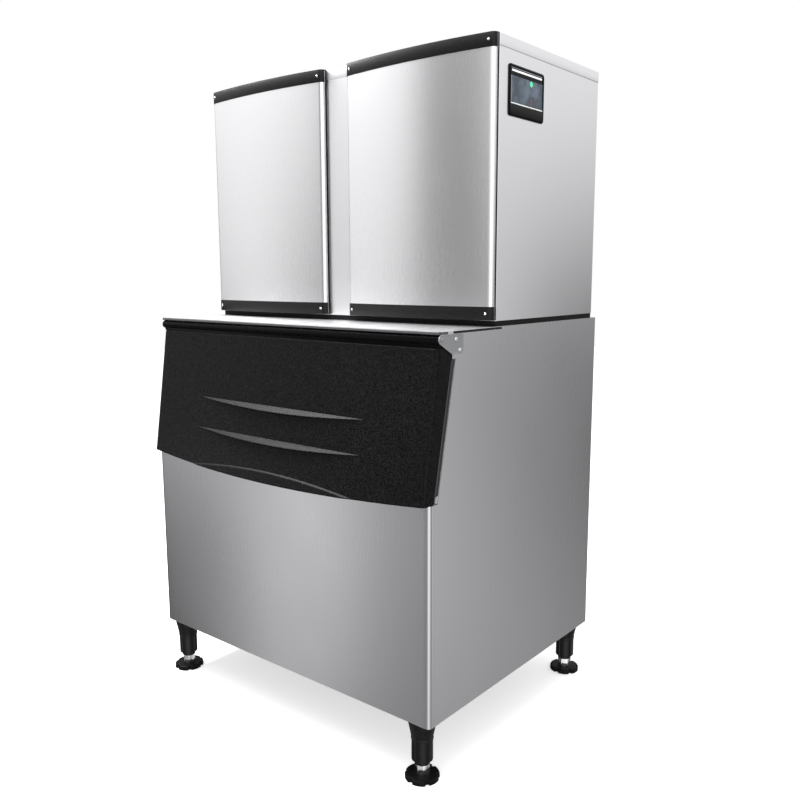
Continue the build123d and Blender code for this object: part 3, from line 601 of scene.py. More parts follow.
@dataclass(frozen=True)
class Lamp(Finish):
    """Small lit mark on the display."""

    glow: float
    speck_scale: float = 400.0
    dark: float = 0.9
    bright: float = 1.1

    def lay(self, wiring: Wiring) -> None:
        """Lays the material's nodes.

        Args:
            wiring: the material's, still empty.
        """
        speck = wiring.noise((self.speck_scale,) * 3, detail=1.0)
        wiring.finish(
            Base_Color=wiring.tint(speck, self.shade(self.dark), self.shade(self.bright)),
            Roughness=self.roughness,
            Emission_Color=(*self.color, 1.0),
            Emission_Strength=self.glow,
        )


# What follows a name, colour and roughness. Steel: grain, depth of its lines, clouds.
# Moulded: size and depth of its grain, fleck, specular, sparkle. Lamp: glow.
PANEL_STEEL = Steel("panel_steel", (0.862, 0.860, 0.875), 0.27, Grain.ALONG_Z, 0.0000004)
POST_STEEL = Steel("post_steel", (0.842, 0.840, 0.855), 0.30, Grain.ALONG_Z, 0.0000004)
CASE_STEEL = Steel("case_steel", (0.802, 0.800, 0.818), 0.30, Grain.ALONG_Z, 0.0000004)
# The bin's steel has a darker base colour than the head's panels: painted shade for the darker room
# that the bin's front and sides reflect.
BIN_STEEL_PAINTED_SHADE = Steel("bin_steel_painted_shade", (0.664, 0.660, 0.680), 0.28, Grain.ALONG_Z, 0.0000003)
DECK_STEEL = Steel("deck_steel", (0.86, 0.86, 0.87), 0.34, Grain.ALONG_X, 0.000002)
INNER_STEEL = Steel("inner_steel", (0.66, 0.66, 0.67), 0.40, Grain.ALONG_X)
BRACKET_STEEL = Steel("bracket_steel", (0.46, 0.465, 0.475), 0.40, Grain.ALONG_Y, 0.00003, 0.10)
GRID_NICKEL = Steel("grid_nickel", (0.72, 0.70, 0.66), 0.35, Grain.ALONG_X)
COIL_ALUMINIUM = Steel("coil_aluminium", (0.70, 0.71, 0.72), 0.38, Grain.ALONG_Z)
SCREW_STEEL = Polished("screw_steel", (0.78, 0.78, 0.79), 0.18)
STEM_CHROME = Polished("stem_chrome", (0.80, 0.80, 0.81), 0.08)
INLET_BRASS = Polished("inlet_brass", (0.72, 0.54, 0.27), 0.25)
# The door's bright base-colour specks are painted glints of its grain, laid over a random grain
# tone.
DOOR_PLASTIC = Moulded("door_plastic", (0.0042, 0.0042, 0.0046), 0.44, 0.0042, 0.00060, 0.70,
                       0.075, 2.4)
CAP_PLASTIC = Moulded("cap_plastic", (0.0060, 0.0060, 0.0064), 0.38, 0.0030, 0.00018, 0.60, 0.20)
RAIL_PLASTIC = Moulded("rail_plastic", (0.0022, 0.0022, 0.0024), 0.28, 0.0030, 0.00003, 0.10, 0.06)
# Pale glossy grey for the door's seam beads: the paleness is a painted highlight line along the
# seam.
SEAM_PLASTIC_PAINTED_HIGHLIGHT = Moulded("seam_plastic_painted_highlight", (0.045, 0.045, 0.048), 0.35, 0.0020, 0.00003, 0.10, 0.5)
NOSE_PLASTIC = Moulded("nose_plastic", (0.060, 0.060, 0.065), 0.32, 0.0020, 0.00004, 0.10, 0.5)
LINER_PLASTIC = Moulded("liner_plastic", (0.016, 0.0162, 0.017), 0.38, 0.0025, 0.00004, 0.08, 0.3)
TRIM_PLASTIC = Moulded("trim_plastic", (0.006, 0.006, 0.0065), 0.45, 0.0015, 0.00006, 0.15, 0.2)
GASKET_RUBBER = Moulded("gasket_rubber", (0.006, 0.006, 0.0062), 0.75, 0.0012, 0.00008, 0.2, 0.15)
PAD_RUBBER = Moulded("pad_rubber", (0.0035, 0.0035, 0.0038), 0.42, 0.0012, 0.00008, 0.2, 0.10)
LEG_PAINT = Moulded("leg_paint", (0.0030, 0.0030, 0.0033), 0.20, 0.0035, 0.00002, 0.10, 0.30)
DARK_PAINT = Moulded("dark_paint", (0.02, 0.02, 0.021), 0.35, 0.0030, 0.00004, 0.12)
BOX_PAINT = Moulded("box_paint", (0.55, 0.56, 0.57), 0.5, 0.0025, 0.00005, 0.06)
WHITE_PLASTIC = Moulded("white_plastic", (0.80, 0.81, 0.82), 0.38, 0.0030, 0.00004, 0.04)
FOAM = Moulded("foam", (0.80, 0.72, 0.50), 0.85, 0.0022, 0.00030, 0.12)
DISPLAY_GLOSS = Moulded("display_gloss", (0.0020, 0.0020, 0.0026), 0.14, 0.0040, 0.00001, 0.05,
                        0.08)
SCREEN_PANE = Moulded("screen_pane", (0.066, 0.088, 0.116), 0.12, 0.0420, 0.00001, 0.45, 0.30)
MARK_WHITE = Moulded("mark_white", (0.88, 0.89, 0.90), 0.30, 0.0030, 0.00001, 0.03, 0.4)
MARK_GREY = Moulded("mark_grey", (0.22, 0.25, 0.28), 0.30, 0.0030, 0.00001, 0.05, 0.4)
MARK_DIM = Moulded("mark_dim", (0.045, 0.060, 0.075), 0.30, 0.0040, 0.00001, 0.05, 0.2)
LAMP_GREEN = Lamp("lamp_green", (0.08, 0.55, 0.30), 0.4, 0.30)
LAMP_RED = Lamp("lamp_red", (0.10, 0.045, 0.06), 0.4, 0.05)

NODE_FINISHES: dict[Finish, tuple[str, ...]] = {
    POST_STEEL: ("head_front_post",),
    CASE_STEEL: ("head_rear_panel",),
    INNER_STEEL: ("head_base", "compartment_wall", "bin_base_panel", "bin_back_panel"),
    # The bin's side panels take the darkened steel, painted shade.
    BIN_STEEL_PAINTED_SHADE: ("bin_side_panel_left", "bin_side_panel_right"),
    DECK_STEEL: ("top_deck",),
    LINER_PLASTIC: ("door_inner_liner",),
    TRIM_PLASTIC: ("deck_edge_strips",),
    GASKET_RUBBER: ("head_gasket",),
    WHITE_PLASTIC: (
        "bin_liner", "bin_drain_fitting", "water_curtain_left", "water_curtain_right",
        "water_distributors", "water_trough", "water_pump",
    ),
    FOAM: ("bin_insulation",),
    GRID_NICKEL: ("evaporator_left", "evaporator_right"),
    DARK_PAINT: ("compressor", "fan_motor"),
    COIL_ALUMINIUM: ("condenser_coil",),
    CAP_PLASTIC: ("fan_blade", "fan_shroud"),
    BOX_PAINT: ("control_box",),
    INLET_BRASS: ("water_inlet",),
}


# Bench


class Bench:
    """Places surfaces in the row frame and dresses them.

    Points nearer than weld become one and edges under shortest_edge go, both in metres.
    """

    weld = 1e-6
    shortest_edge = 1e-7

    def __init__(self) -> None:
        """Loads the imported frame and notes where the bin's front lies."""
        self.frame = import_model()
        self.cad_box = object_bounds()
        self.front_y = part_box("bin_front_panel")[0].y
        self.count = 0

    def metres(self, points: np.ndarray) -> np.ndarray:
        """Millimetres from the bin's front as metres in the row frame."""
        return points * MILLIMETRE + (0.0, self.front_y, 0.0)

    def add(self, name: str, surface: Surface, finish: Finish, body: str, slot: str,
            replaced: tuple[str, ...] = (), sharp: float = 32.0) -> None:
        """Makes a piece of the object.

        Args:
            name: of the piece.
            surface: its shape in millimetres.
            finish: what it is made of.
            body: the CAD body that it moves with.
            slot: the record's material slot; not used.
            replaced: CAD nodes that it stands for.
            sharp: edges over this many degrees stay sharp.
        """
        mesh = bpy.data.meshes.new(name)
        faces = surface.quads.tolist() + surface.caps
        mesh.from_pydata(self.metres(surface.points).tolist(), [], faces)
        work = bmesh.new()
        work.from_mesh(mesh)
        bmesh.ops.remove_doubles(work, verts=work.verts, dist=self.weld)
        bmesh.ops.dissolve_degenerate(work, edges=work.edges, dist=self.shortest_edge)
        bmesh.ops.recalc_face_normals(work, faces=work.faces)
        work.to_mesh(mesh)
        work.free()
        mesh.shade_smooth()
        mesh.materials.append(finish.material())
        made = bpy.data.objects.new(name, mesh)
        bpy.context.scene.collection.objects.link(made)
        mesh.set_sharp_from_angle(angle=math.radians(sharp))
        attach(made, body)
        if replaced:
            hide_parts(*replaced)
        self.count += 1
        LOG.info("piece %s: %d faces", name, len(mesh.polygons))

    def dress_nodes(self) -> None:
        """Gives every CAD node that still shows its finish."""
        for finish, names in NODE_FINISHES.items():
            for name in names:
                node = self.frame["nodes"][name]
                node.data.materials.clear()
                node.data.materials.append(finish.material())
        left = [
            name for name, node in self.frame["nodes"].items()
            if not node.hide_render and not any(name in names for names in NODE_FINISHES.values())
        ]
        LOG.info("CAD nodes without a finish of their own: %s", left)


# Sub-assemblies


@dataclass
class Bin:
    """Stainless front of the bin, wrapped round its two upright corners."""

    half_width: float = 610.0
    low: float = 184.0
    high: float = 828.0
    sheet: float = 1.2
    corner: float = 13.0
    crease: float = 22.0
    crease_turn: float = 6.0
    side_return: float = 18.0
    sill_rear: float = 36.9
    sill_fit: float = 0.1

    def front_path(self) -> np.ndarray:
        """Front panel in plan, from its left return to its right one.

        A shallow chamfer turned by crease_turn leads from the flat face to the corner's arc.

        Returns:
            Array of shape (points, 2).
        """
        turn = math.radians(self.crease_turn)
        centre_x = self.half_width - self.corner
        start_x = self.half_width - self.crease
        tangent_x = centre_x + self.corner * math.sin(turn)
        step = (tangent_x - start_x) * math.tan(turn)
        centre_y = step + self.corner * math.cos(turn)
        right = arc((centre_x, centre_y), self.corner, -90 + self.crease_turn, 0, 14)
        flat = np.array([[start_x, 0.0]])
        end = np.array([[self.half_width, self.side_return]])
        half = np.concatenate([flat, right, end])
        return np.concatenate([half[::-1] * (-1, 1), half])

    def build(self, bench: Bench) -> None:
        """Makes the front panel with its sill.

        Args:
            bench: takes the piece.
        """
        skin = sheet_metal(self.front_path(), self.sheet, self.low, self.high)
        inside = self.sheet + self.sill_fit
        centre = (self.half_width - self.corner, self.corner + self.sill_fit)
        corner = arc(centre, self.corner - inside, -90, 0, 10)
        right = np.concatenate([corner, [[self.half_width - inside, self.sill_rear]]])
        sill = np.concatenate([right, right[::-1] * (-1, 1)])
        ledge = np.stack([at_height(sill, z) for z in (self.high - self.sheet, self.high)])
        # The front panel's darker steel is painted shade.
        bench.add("bin_front", skin + loft(ledge), BIN_STEEL_PAINTED_SHADE, "cabinet", "stainless_bin",
                  ("bin_front_panel",), sharp=24.0)


@dataclass
class Door:
    """Moulded door: a bowed shell with two finger ledges, an arched lip and a low apron."""

    half: float = 608.0
    high: float = 1250.0
    underside: float = 829.0
    face_y: float = -20.5
    tilt: float = 8.3
    bow: float = 30.0
    bow_power: float = 4.0
    apron_back: float = -3.0
    apron_end_drop: float = 0.8
    apron_sag: float = 21.0
    corner: float = 14.0
    top_round: float = 5.0
    bottom_round: float = 2.5
    heel: float = 4.0
    sill_y: float = 38.1
    sill_z: float = 828.0
    rim_tilt: float = 11.6
    back_offset: float = 16.0
    ledge_half: float = 369.0
    ledge_reach: float = 14.5
    ledge_drop: float = 15.5
    ledge_undercut: float = 7.0
    ledge_recess: float = 1.5
    ledge_heights: tuple[float, float] = (1038.5, 938.0)
    least_drop: float = 0.8
    least_undercut: float = 0.6
    lip_half: float = 373.0
    lip_crown: float = 842.0
    lip_rise: float = 26.0
    lip_reach: float = 4.0
    least_lip: float = 0.8
    seam_radius: float = 1.5
    seam_gap: float = 2.0
    seam_sink: float = 0.6
    pivot_y: float = 50.0
    pivot_z: float = 1272.0
    rail_radius: float = 13.5
    rail_chamfer: float = 0.6
    flange_low: float = 0.3
    flange_top: float = 3.0
    flange_front: float = 4.6
    flange_rear: float = 46.0
    flange_neck: float = 1.0
    columns: int = 221
    corner_steps: int = 12
    edge_steps: int = 6

    def low(self, x: np.ndarray) -> np.ndarray:
        """Bottom edge of the face: a parabola that hangs lowest in the middle."""
        return self.underside - self.apron_end_drop - self.apron_sag * (1 - (x / self.half) ** 2)

    def rear_y(self, z: np.ndarray) -> np.ndarray:
        """Back of the shell: the bin's slanted opening moved forward.

        Args:
            z: heights.

        Returns:
            The back's y at these heights.
        """
        slope = math.tan(math.radians(self.rim_tilt))
        offset = self.back_offset / math.cos(math.radians(self.rim_tilt))
        return self.sill_y + (z - self.sill_z) * slope - offset

    def share(self, x: np.ndarray, z: np.ndarray) -> np.ndarray:
        """Share of the way from the top of the face to its bottom edge."""
        return np.clip((self.high - z) / (self.high - self.low(x)), 0, 1)

    def front_y(self, x: np.ndarray, z: np.ndarray) -> np.ndarray:
        """Front face: a tilted plane less a parabola in x that grows towards the bottom."""
        plane = self.face_y + (z - self.underside) * math.tan(math.radians(self.tilt))
        return plane - self.bow * (1 - (x / self.half) ** 2) * self.share(x, z) ** self.bow_power

    def rows(self, x: np.ndarray) -> tuple[np.ndarray, np.ndarray]:
        """Heights and forward reach of every row of the face, from the top down.

        A ledge slopes straight from its fold to its crest, which dips by a parabola, and
        falls back under it. The lip is an arch over a pad that stands proud of the face.
        Where one of them has died out its rows lie close together. Each key below holds a
        row's heights, its reach and the number of rows up to the next key.

        Args:
            x: places across the door.

        Returns:
            Arrays of shape (rows, places): heights, and distances in front of the face.
        """
        grow = np.clip(1 - (x / self.ledge_half) ** 2, 0, 1)
        flat = np.zeros_like(x)
        keys = [(flat + self.high - self.top_round, flat, 26)]
        for height in self.ledge_heights:
            crest = height - np.maximum(self.ledge_drop * grow, self.least_drop)
            reach = self.ledge_reach * grow
            under = crest - np.maximum(self.ledge_undercut * grow, self.least_undercut)
            keys += [
                (flat + height, flat, 8),
                (crest + 1.2 * grow, reach * 0.96, 2),
                (crest, reach, 2),
                (crest - 0.9 * grow - 0.2, reach * 0.93, 4),
                (under, -self.ledge_recess * grow, 14),
            ]
        edge = self.low(x) + self.bottom_round
        arch = self.lip_crown - self.lip_rise * (x / self.lip_half) ** 2
        arch = np.maximum(arch, edge + self.least_lip)
        proud = self.lip_reach * np.clip((arch - edge - self.least_lip) / self.lip_reach, 0, 1)
        keys += [
            (arch, flat, 3),
            (arch - np.maximum(proud * 0.85, 0.2), proud * 0.85, 2),
            (arch - np.maximum(proud * 1.15, 0.4), proud, 6),
            (edge, proud * 1.1, 1),
        ]
        heights, reaches = [], []
        for (z0, d0, steps), (z1, d1, _) in zip(keys[:-1], keys[1:]):
            part = np.linspace(0, 1, steps, endpoint=False)[:, None]
            heights.append(z0 + (z1 - z0) * part)
            reaches.append(d0 + (d1 - d0) * part)
        heights.append(keys[-1][0][None])
        reaches.append(keys[-1][1][None])
        return np.concatenate(heights), np.concatenate(reaches)

    def shell(self) -> Surface:
        """The outer shell as upright sections carried along x.

        Past the corner's tangent the face gives way to a circle of radius r that touches it
        and the side. Its centre's y is the face's at the end + r (sqrt(1 + slope^2) - slope).

        Returns:
            The closed surface, with a flat side on each end.
        """
        start = self.half - self.corner
        turn = np.radians(np.linspace(0, 90, self.corner_steps)[1:])
        outer = start + self.corner * np.sin(turn)
        x = np.concatenate([-outer[::-1], np.linspace(-start, start, self.columns), outer])
        z, reach = self.rows(x)
        face = self.front_y(x, z) - reach
        end = np.full_like(x, self.half)
        slope = 2 * self.bow / self.half * self.share(end, z) ** self.bow_power
        stretch = np.sqrt(1 + slope ** 2)
        away = np.clip(np.abs(x) - start, 0, self.corner)
        centre = self.front_y(end, z) + self.corner * (stretch - slope)
        round_y = centre - np.sqrt(self.corner ** 2 - away ** 2)
        y = np.where(away > self.corner * slope / stretch, round_y, face)
        angle = np.radians(np.linspace(0, 90, self.edge_steps))[1:, None]
        top_y = y[0] + self.top_round * (1 - np.cos(angle))
        top_z = z[0] + self.top_round * np.sin(angle)
        low_y = y[-1] + self.bottom_round * (1 - np.cos(angle))
        low_z = z[-1] - self.bottom_round * np.sin(angle)
        back = [
            (self.apron_back, self.low(x)),
            (self.apron_back, self.underside),
            (self.rear_y(self.underside) - self.heel, self.underside),
            (self.rear_y(self.underside + self.heel), self.underside + self.heel),
            (self.rear_y(self.high), self.high),
        ]
        back_y = np.stack([np.full_like(x, place) for place, _ in back])
        back_z = np.stack([np.zeros_like(x) + height for _, height in back])
        loop_y = np.concatenate([top_y[::-1], y, low_y, back_y])
        loop_z = np.concatenate([top_z[::-1], z, low_z, back_z])
        loop_x = np.broadcast_to(x, loop_y.shape)
        return loft(np.stack([loop_x, loop_y, loop_z], -1).transpose(1, 0, 2))

    def seam(self) -> Surface:
        """Slim bead up the right side where the shell meets its liner, a half-round section. Its
        glossy round catches real light, and its pale grey adds a painted highlight line along the
        seam.

        Returns:
            The bead, from over the heel to under the top.
        """
        bead = arc((0.0, 0.0), self.seam_radius, -90, 90, 9)
        heights = (self.underside + self.heel + self.seam_gap, self.high - self.seam_gap)
        x = self.half - self.seam_sink
        return loft(np.stack([at_height(bead + (x, self.rear_y(z)), z) for z in heights]))

    def rail(self) -> Surface:
        """Rolled rail on the hinge line with its neck and flange, swept along x.

        Returns:
            The rail over the door's whole width.
        """
        roll = arc((self.pivot_y, self.pivot_z), self.rail_radius, -70, 250, 48)
        low, top = self.high + self.flange_low, self.high + self.flange_top
        front, rear = self.pivot_y - self.flange_front, self.pivot_y + self.flange_rear
        foot = [(front, top + self.flange_neck), (front, low), (rear, low), (rear, top),
                (self.pivot_y + self.flange_front + self.flange_neck, top)]
        outline = np.concatenate([roll, foot])
        return swept(outline, self.half, self.rail_chamfer, self.rail_chamfer)

    def build(self, bench: Bench) -> None:
        """Makes the shell, its seam beads and the rail.

        Args:
            bench: takes the pieces.
        """
        bench.add("door_shell", self.shell(), DOOR_PLASTIC, "door", "door_plastic",
                  ("door_outer_shell",), sharp=33.0)
        bench.add("door_seam_beads", self.seam().doubled(), SEAM_PLASTIC_PAINTED_HIGHLIGHT, "door", "door_plastic")
        bench.add("door_rail", self.rail(), RAIL_PLASTIC, "door", "door_rail_plastic",
                  ("door_top_rail",), sharp=40.0)


@dataclass
class DeckTrim:
    """Strip along the deck's front edge, turned back round its two ends."""

    half: float = 610.0
    front: float = 49.7
    depth: float = 13.0
    top: float = 1294.0
    height: float = 8.0
    edge_radius: float = 2.2
    end: float = 0.8
    end_inset: float = 1.0
    hook_size: tuple[float, float] = (1.4, 30.0)
    hook_radius: float = 0.5
    hook_height: float = 6.2
    hook_edge: float = 0.3
    hook_back: float = 14.0

    def build(self, bench: Bench) -> None:
        """Makes the strip: a rounded profile swept along x, and a hook at each end.

        Args:
            bench: takes the piece.
        """
        centre = (self.front - self.depth / 2, self.top - self.height / 2)
        profile = rounded_rectangle(self.depth, self.height, self.edge_radius, 6) + centre
        strip = swept(profile, self.half, self.end, self.end_inset)
        edge, high = self.hook_edge, self.hook_height
        steps = [(edge, 0), (0, edge), (0, high - edge), (edge, high)]
        hook = loft(plate(rounded_rectangle(*self.hook_size, self.hook_radius, 3), steps))
        hook = hook.moved(self.half - self.end, self.front + self.hook_back, self.top - self.height)
        bench.add("deck_nose", strip + hook.doubled(), NOSE_PLASTIC, "cabinet", "grey_trim",
                  ("deck_nose_strip",), sharp=40.0)


@dataclass
class Screw:
    """Pan-head screw with a cross recess."""

    radius: float
    arm: float
    slot: float
    height: float = 2.6
    cup_radius: float = 6.3
    cup_height: float = 0.9
    sink: float = 0.2
    dome: float = 62.0
    recess: float = 1.2
    steps: int = 48

    def cup(self) -> Surface:
        """Shallow washer under the head, on the plane z = 0: a turned ring.

        Returns:
            The ring, pointing along +z.
        """
        inner, outer, high = self.radius - 0.4, self.cup_radius, self.cup_height
        profile = np.array([
            (inner, 0.0), (outer, 0.0), (outer - 0.2, high * 0.7), (outer - 0.8, high),
            (self.radius + 0.5, high * 0.55), (inner, high * 0.5),
        ])
        return loft(revolved(profile, self.steps), ring=True)

    def head(self) -> Surface:
        """Head on the plane z = 0, pointing along +z.

        Loops round the axis: the dome's profile is a quarter ellipse, and inside it the
        radius follows a cross, the larger of two crossing bars in each direction.

        Returns:
            A closed surface.
        """
        angle = directions(self.steps)
        fold = np.abs((angle + np.pi / 4) % (np.pi / 2) - np.pi / 4)
        bar = np.minimum(self.arm / np.cos(fold), self.slot / np.maximum(np.sin(fold), 1e-3))
        cross = np.maximum(bar, self.slot * 1.15)
        rise = np.radians(np.linspace(0, self.dome, 7))
        top = self.height * math.sin(rise[-1])
        rings = [(self.radius, -self.sink)]
        rings += [(self.radius * np.cos(turn), self.height * np.sin(turn)) for turn in rise]
        rings += [(cross * 1.1, top + 0.15), (cross, top), (cross * 0.8, top - self.recess)]
        return loft(ring_loops(angle, rings))

    def on_side(self, x: float, y: float, z: float) -> Surface:
        """The head on a face that looks along +x."""
        return self.head().turned("Y", 90).moved(x, y, z)


@dataclass
class Hinges:
    """Bracket plates that carry the door's pins, with their screws."""

    half_width: float = 610.0
    thickness: float = 3.0
    pivot: tuple[float, float] = (50.0, 1272.0)
    lobe: float = 14.0
    rear: float = 149.0
    low: float = 1231.5
    high: float = 1285.5
    corner: float = 7.0
    knee: float = 46.0
    pin_radius: float = 5.0
    pin_length: float = 36.0
    screw: Screw = field(default_factory=lambda: Screw(radius=6.5, arm=3.4, slot=1.0))
    screw_places: tuple[tuple[float, float], ...] = ((114.0, 1270.0), (132.0, 1240.0))
    screw_sink: float = 0.2

    def bracket(self) -> Surface:
        """Right bracket: a hull of circles with rounded edges, and its riveted pin.

        Returns:
            The plate and the pin.
        """
        reach = self.rear - self.corner
        circles = np.array([
            (*self.pivot, self.lobe),
            (reach, self.high - self.corner, self.corner),
            (reach, self.low + self.corner, self.corner),
            (self.pivot[0] + self.knee, self.low + self.corner, self.corner),
        ])
        face = self.thickness
        edge = [(0.5, 0), (0, 0.4), (0, face - 0.9), (0.35, face - 0.3), (1.0, face),
                (2.4, face - 0.25), (6.0, face - 0.3)]
        side = plate(hull_of_circles(circles), edge)[..., [2, 0, 1]] + (self.half_width, 0, 0)
        radius, deep = self.pin_radius, self.pin_length
        profile = np.array([
            (radius - 0.8, -deep), (radius, -deep + 0.8), (radius, face), (6.4, face),
            (6.2, face + 1.0), (4.6, face + 1.5), (1.5, face + 1.4),
        ])
        pin = loft(revolved(profile, 40)).turned("Y", 90)
        return loft(side) + pin.moved(self.half_width, *self.pivot)

    def build(self, bench: Bench) -> None:
        """Makes both brackets and the four screws.

        Args:
            bench: takes the pieces.
        """
        bracket = self.bracket()
        for side, sign in SIDES.items():
            bench.add(f"bracket_{side}", bracket.for_side(sign), BRACKET_STEEL, "cabinet",
                      "bracket_steel", (f"hinge_bracket_{side}",), sharp=30.0)
        face = self.half_width + self.thickness - self.screw_sink
        heads = joined([self.screw.on_side(face, y, z) for y, z in self.screw_places])
        bench.add("bracket_screws", heads.doubled(), SCREW_STEEL, "cabinet", "screw_steel",
                  ("hinge_screws",))


@dataclass
class HeadFront:
    """Two bowed stainless panels between black end caps."""

    inner_x: float = 51.8
    outer_x: float = 608.2
    face_y: float = 293.8
    back_y: float = 312.7
    bow: float = 19.0
    corner: float = 16.0
    low: float = 1312.0
    high: float = 2097.0
    cap_height: float = 39.0
    proud: float = 1.8
    sheet: float = 1.5
    skin_gap: float = 3.0
    screw: Screw = field(default_factory=lambda: Screw(radius=3.7, height=2.2, arm=2.0, slot=0.7))
    screw_inset: float = 21.0
    screw_lift: float = 0.4
    seal: float = 9.0
    seal_width: float = 2.6
    seal_fit: float = 0.2
    face_steps: int = 120
    corner_steps: int = 14

    def radius(self, half: float) -> float:
        """Radius of the bowed face over half its width."""
        return (half ** 2 + self.bow ** 2) / (2 * self.bow)

    def outline(self, grow: float) -> np.ndarray:
        """Right panel in plan, from its inner return round the bowed face to its outer one.

        The face is an arc; each corner is a circle tangent to the return and, from inside,
        to the arc.

        Args:
            grow: distance by which the outline is moved outwards.

        Returns:
            Array of shape (points, 2).
        """
        low, high = self.inner_x - grow, self.outer_x + grow
        middle, half = (low + high) / 2, (high - low) / 2
        radius = self.radius(half)
        centre_y = self.face_y - grow - self.bow + radius
        corner = self.corner + grow
        offset = half - corner
        lean = math.degrees(math.asin(offset / (radius - corner)))
        corner_y = centre_y - math.sqrt((radius - corner) ** 2 - offset ** 2)
        right = arc((high - corner, corner_y), corner, -90 + lean, 0, self.corner_steps)
        left = arc((low + corner, corner_y), corner, 180, 270 - lean, self.corner_steps)
        face = arc((middle, centre_y), radius, 270 - lean, 270 + lean, self.face_steps)[1:-1]
        start, end = np.array([[low, self.back_y]]), np.array([[high, self.back_y]])
        return np.concatenate([start, left, face, right, end])

    def cap(self, at_top: bool) -> Surface:
        """One cap: the panel's outline grown, with rounded edges, as a block.

        Args:
            at_top: whether it is the upper one.

        Returns:
            A closed surface.
        """
        z0 = self.high - self.cap_height if at_top else self.low
        z1 = z0 + self.cap_height
        steps = [(1.2, z0), (0.35, z0 + 0.35), (0, z0 + 1.2), (0, z1 - 1.2), (0.35, z1 - 0.35),
                 (1.2, z1)]
        return loft(plate(self.outline(self.proud), steps))

    def seal_strip(self) -> Surface:
        """Dark rubber edging round the rear edges of the right panel's two returns.

        Returns:
            Two upright bars between the caps.
        """
        section = rounded_rectangle(self.seal_width, self.seal - self.seal_fit, 0.4, 3)
        heights = (self.low + self.cap_height, self.high - self.cap_height)
        middle_y = self.back_y - self.seal / 2
        places = (self.inner_x - self.seal_fit, self.outer_x + self.seal_fit)
        return joined([
            loft(np.stack([at_height(section + (x, middle_y), z) for z in heights]))
            for x in places
        ])

    def screws(self, part: Surface) -> Surface:
        """One part of a screw at the right panel's four screw places, square to the bowed caps.

        Args:
            part: on the plane z = 0, pointing along +z.

        Returns:
            The four parts.
        """
        middle = (self.inner_x + self.outer_x) / 2
        half = (self.outer_x - self.inner_x) / 2 + self.proud
        radius = self.radius(half)
        heights = (self.low + self.cap_height / 2, self.high - self.cap_height / 2)
        parts = []
        for place in (-1, 1):
            away = place * (half - self.screw_inset)
            back = math.sqrt(radius ** 2 - away ** 2)
            y = self.face_y - self.proud - self.bow + radius - back
            lean = math.degrees(math.asin(away / radius))
            square = part.turned("X", 90).turned("Z", lean)
            parts += [square.moved(middle + away, y, z) for z in heights]
        return joined(parts)

    def build(self, bench: Bench) -> None:
        """Makes the panels, their caps, seals and screws.

        Args:
            bench: takes the pieces.
        """
        path = self.outline(0.0)
        path[[0, -1], 1] -= self.seal
        skin = sheet_metal(path, self.sheet, self.low + self.skin_gap, self.high - self.skin_gap)
        for side, sign in SIDES.items():
            bench.add(f"front_panel_skin_{side}", skin.for_side(sign), PANEL_STEEL, "cabinet",
                      "stainless_panel", (f"front_panel_{side}",), sharp=40.0)
            for place in ("bottom", "top"):
                cap = self.cap(place == "top").for_side(sign)
                bench.add(f"cap_{place}_{side}", cap, CAP_PLASTIC, "cabinet", "cap_plastic",
                          (f"panel_cap_{place}_{side}",), sharp=40.0)
        bench.add("panel_seals", self.seal_strip().doubled(), GASKET_RUBBER, "cabinet",
                  "gasket_rubber")
        screws = self.screws(self.screw.head().moved(0, 0, self.screw_lift))
        bench.add("panel_screws", screws.doubled(), SCREW_STEEL, "cabinet", "screw_steel",
                  ("cap_screws",))
        bench.add("panel_screw_cups", self.screws(self.screw.cup()).doubled(), TRIM_PLASTIC,
                  "cabinet", "cap_plastic")


@dataclass
class HeadCase:
    """Side panels with soft folds, and the top cover."""

    half_width: float = 610.0
    front: float = 313.0
    rear: float = 912.0
    low: float = 1310.0
    high: float = 2097.0
    cover_height: float = 33.0
    cover_front: float = 312.2
    cover_corner: float = 5.0
    proud: float = 1.5
    lip_fit: float = 0.3
    sheet: float = 1.2
    fold: float = 2.4
    turn_in: float = 20.0

    def side(self) -> Surface:
        """Right side panel: a sheet folded round at its front and rear.

        Returns:
            A closed surface.
        """
        x, r = self.half_width, self.fold
        path = np.concatenate([
            [[x - self.turn_in, self.front]],
            arc((x - r, self.front + r), r, -90, 0, 7),
            arc((x - r, self.rear - r), r, 0, 90, 7),
            [[x - self.turn_in, self.rear]],
        ])
        return sheet_metal(path, self.sheet, self.low, self.high - 2 * self.sheet)

    def cover(self) -> Surface:
        """Top cover: a shallow tray with rounded upper edges, from inside its lip to its top.

        Returns:
            A closed surface. Its insets stay below the corners' radius.
        """
        width = 2 * (self.half_width + self.proud)
        depth = self.rear + self.proud - self.cover_front
        outline = rounded_rectangle(width, depth, self.cover_corner, 6)
        z0, z1 = self.high - self.cover_height, self.high
        lip = self.proud - self.lip_fit
        steps = [(lip, z1 - lip), (lip, z0 + 0.2), (lip / 2, z0), (0.1, z0 + 0.3), (0, z0 + 0.8),
                 (0, z1 - 2.2), (0.6, z1 - 0.7), (2.2, z1), (4.0, z1)]
        return loft(plate(outline, steps)).moved(0, self.cover_front + depth / 2, 0)

    def build(self, bench: Bench) -> None:
        """Makes the side panels and the cover.

        Args:
            bench: takes the pieces.
        """
        panel = self.side()
        for side, sign in SIDES.items():
            bench.add(f"side_panel_{side}", panel.for_side(sign), CASE_STEEL, "cabinet",
                      "stainless_case", (f"head_side_panel_{side}",), sharp=40.0)
        bench.add("top_cover", self.cover(), CASE_STEEL, "cabinet", "stainless_case",
                  ("head_top_cover",), sharp=30.0)


@dataclass
class Mark:
    """Flat bar on the display. Its place and size are shares of the screen's."""

    name: str
    finish: Finish
    across: float
    height: float
    wide: float
    tall: float
    lift: float = 0.12


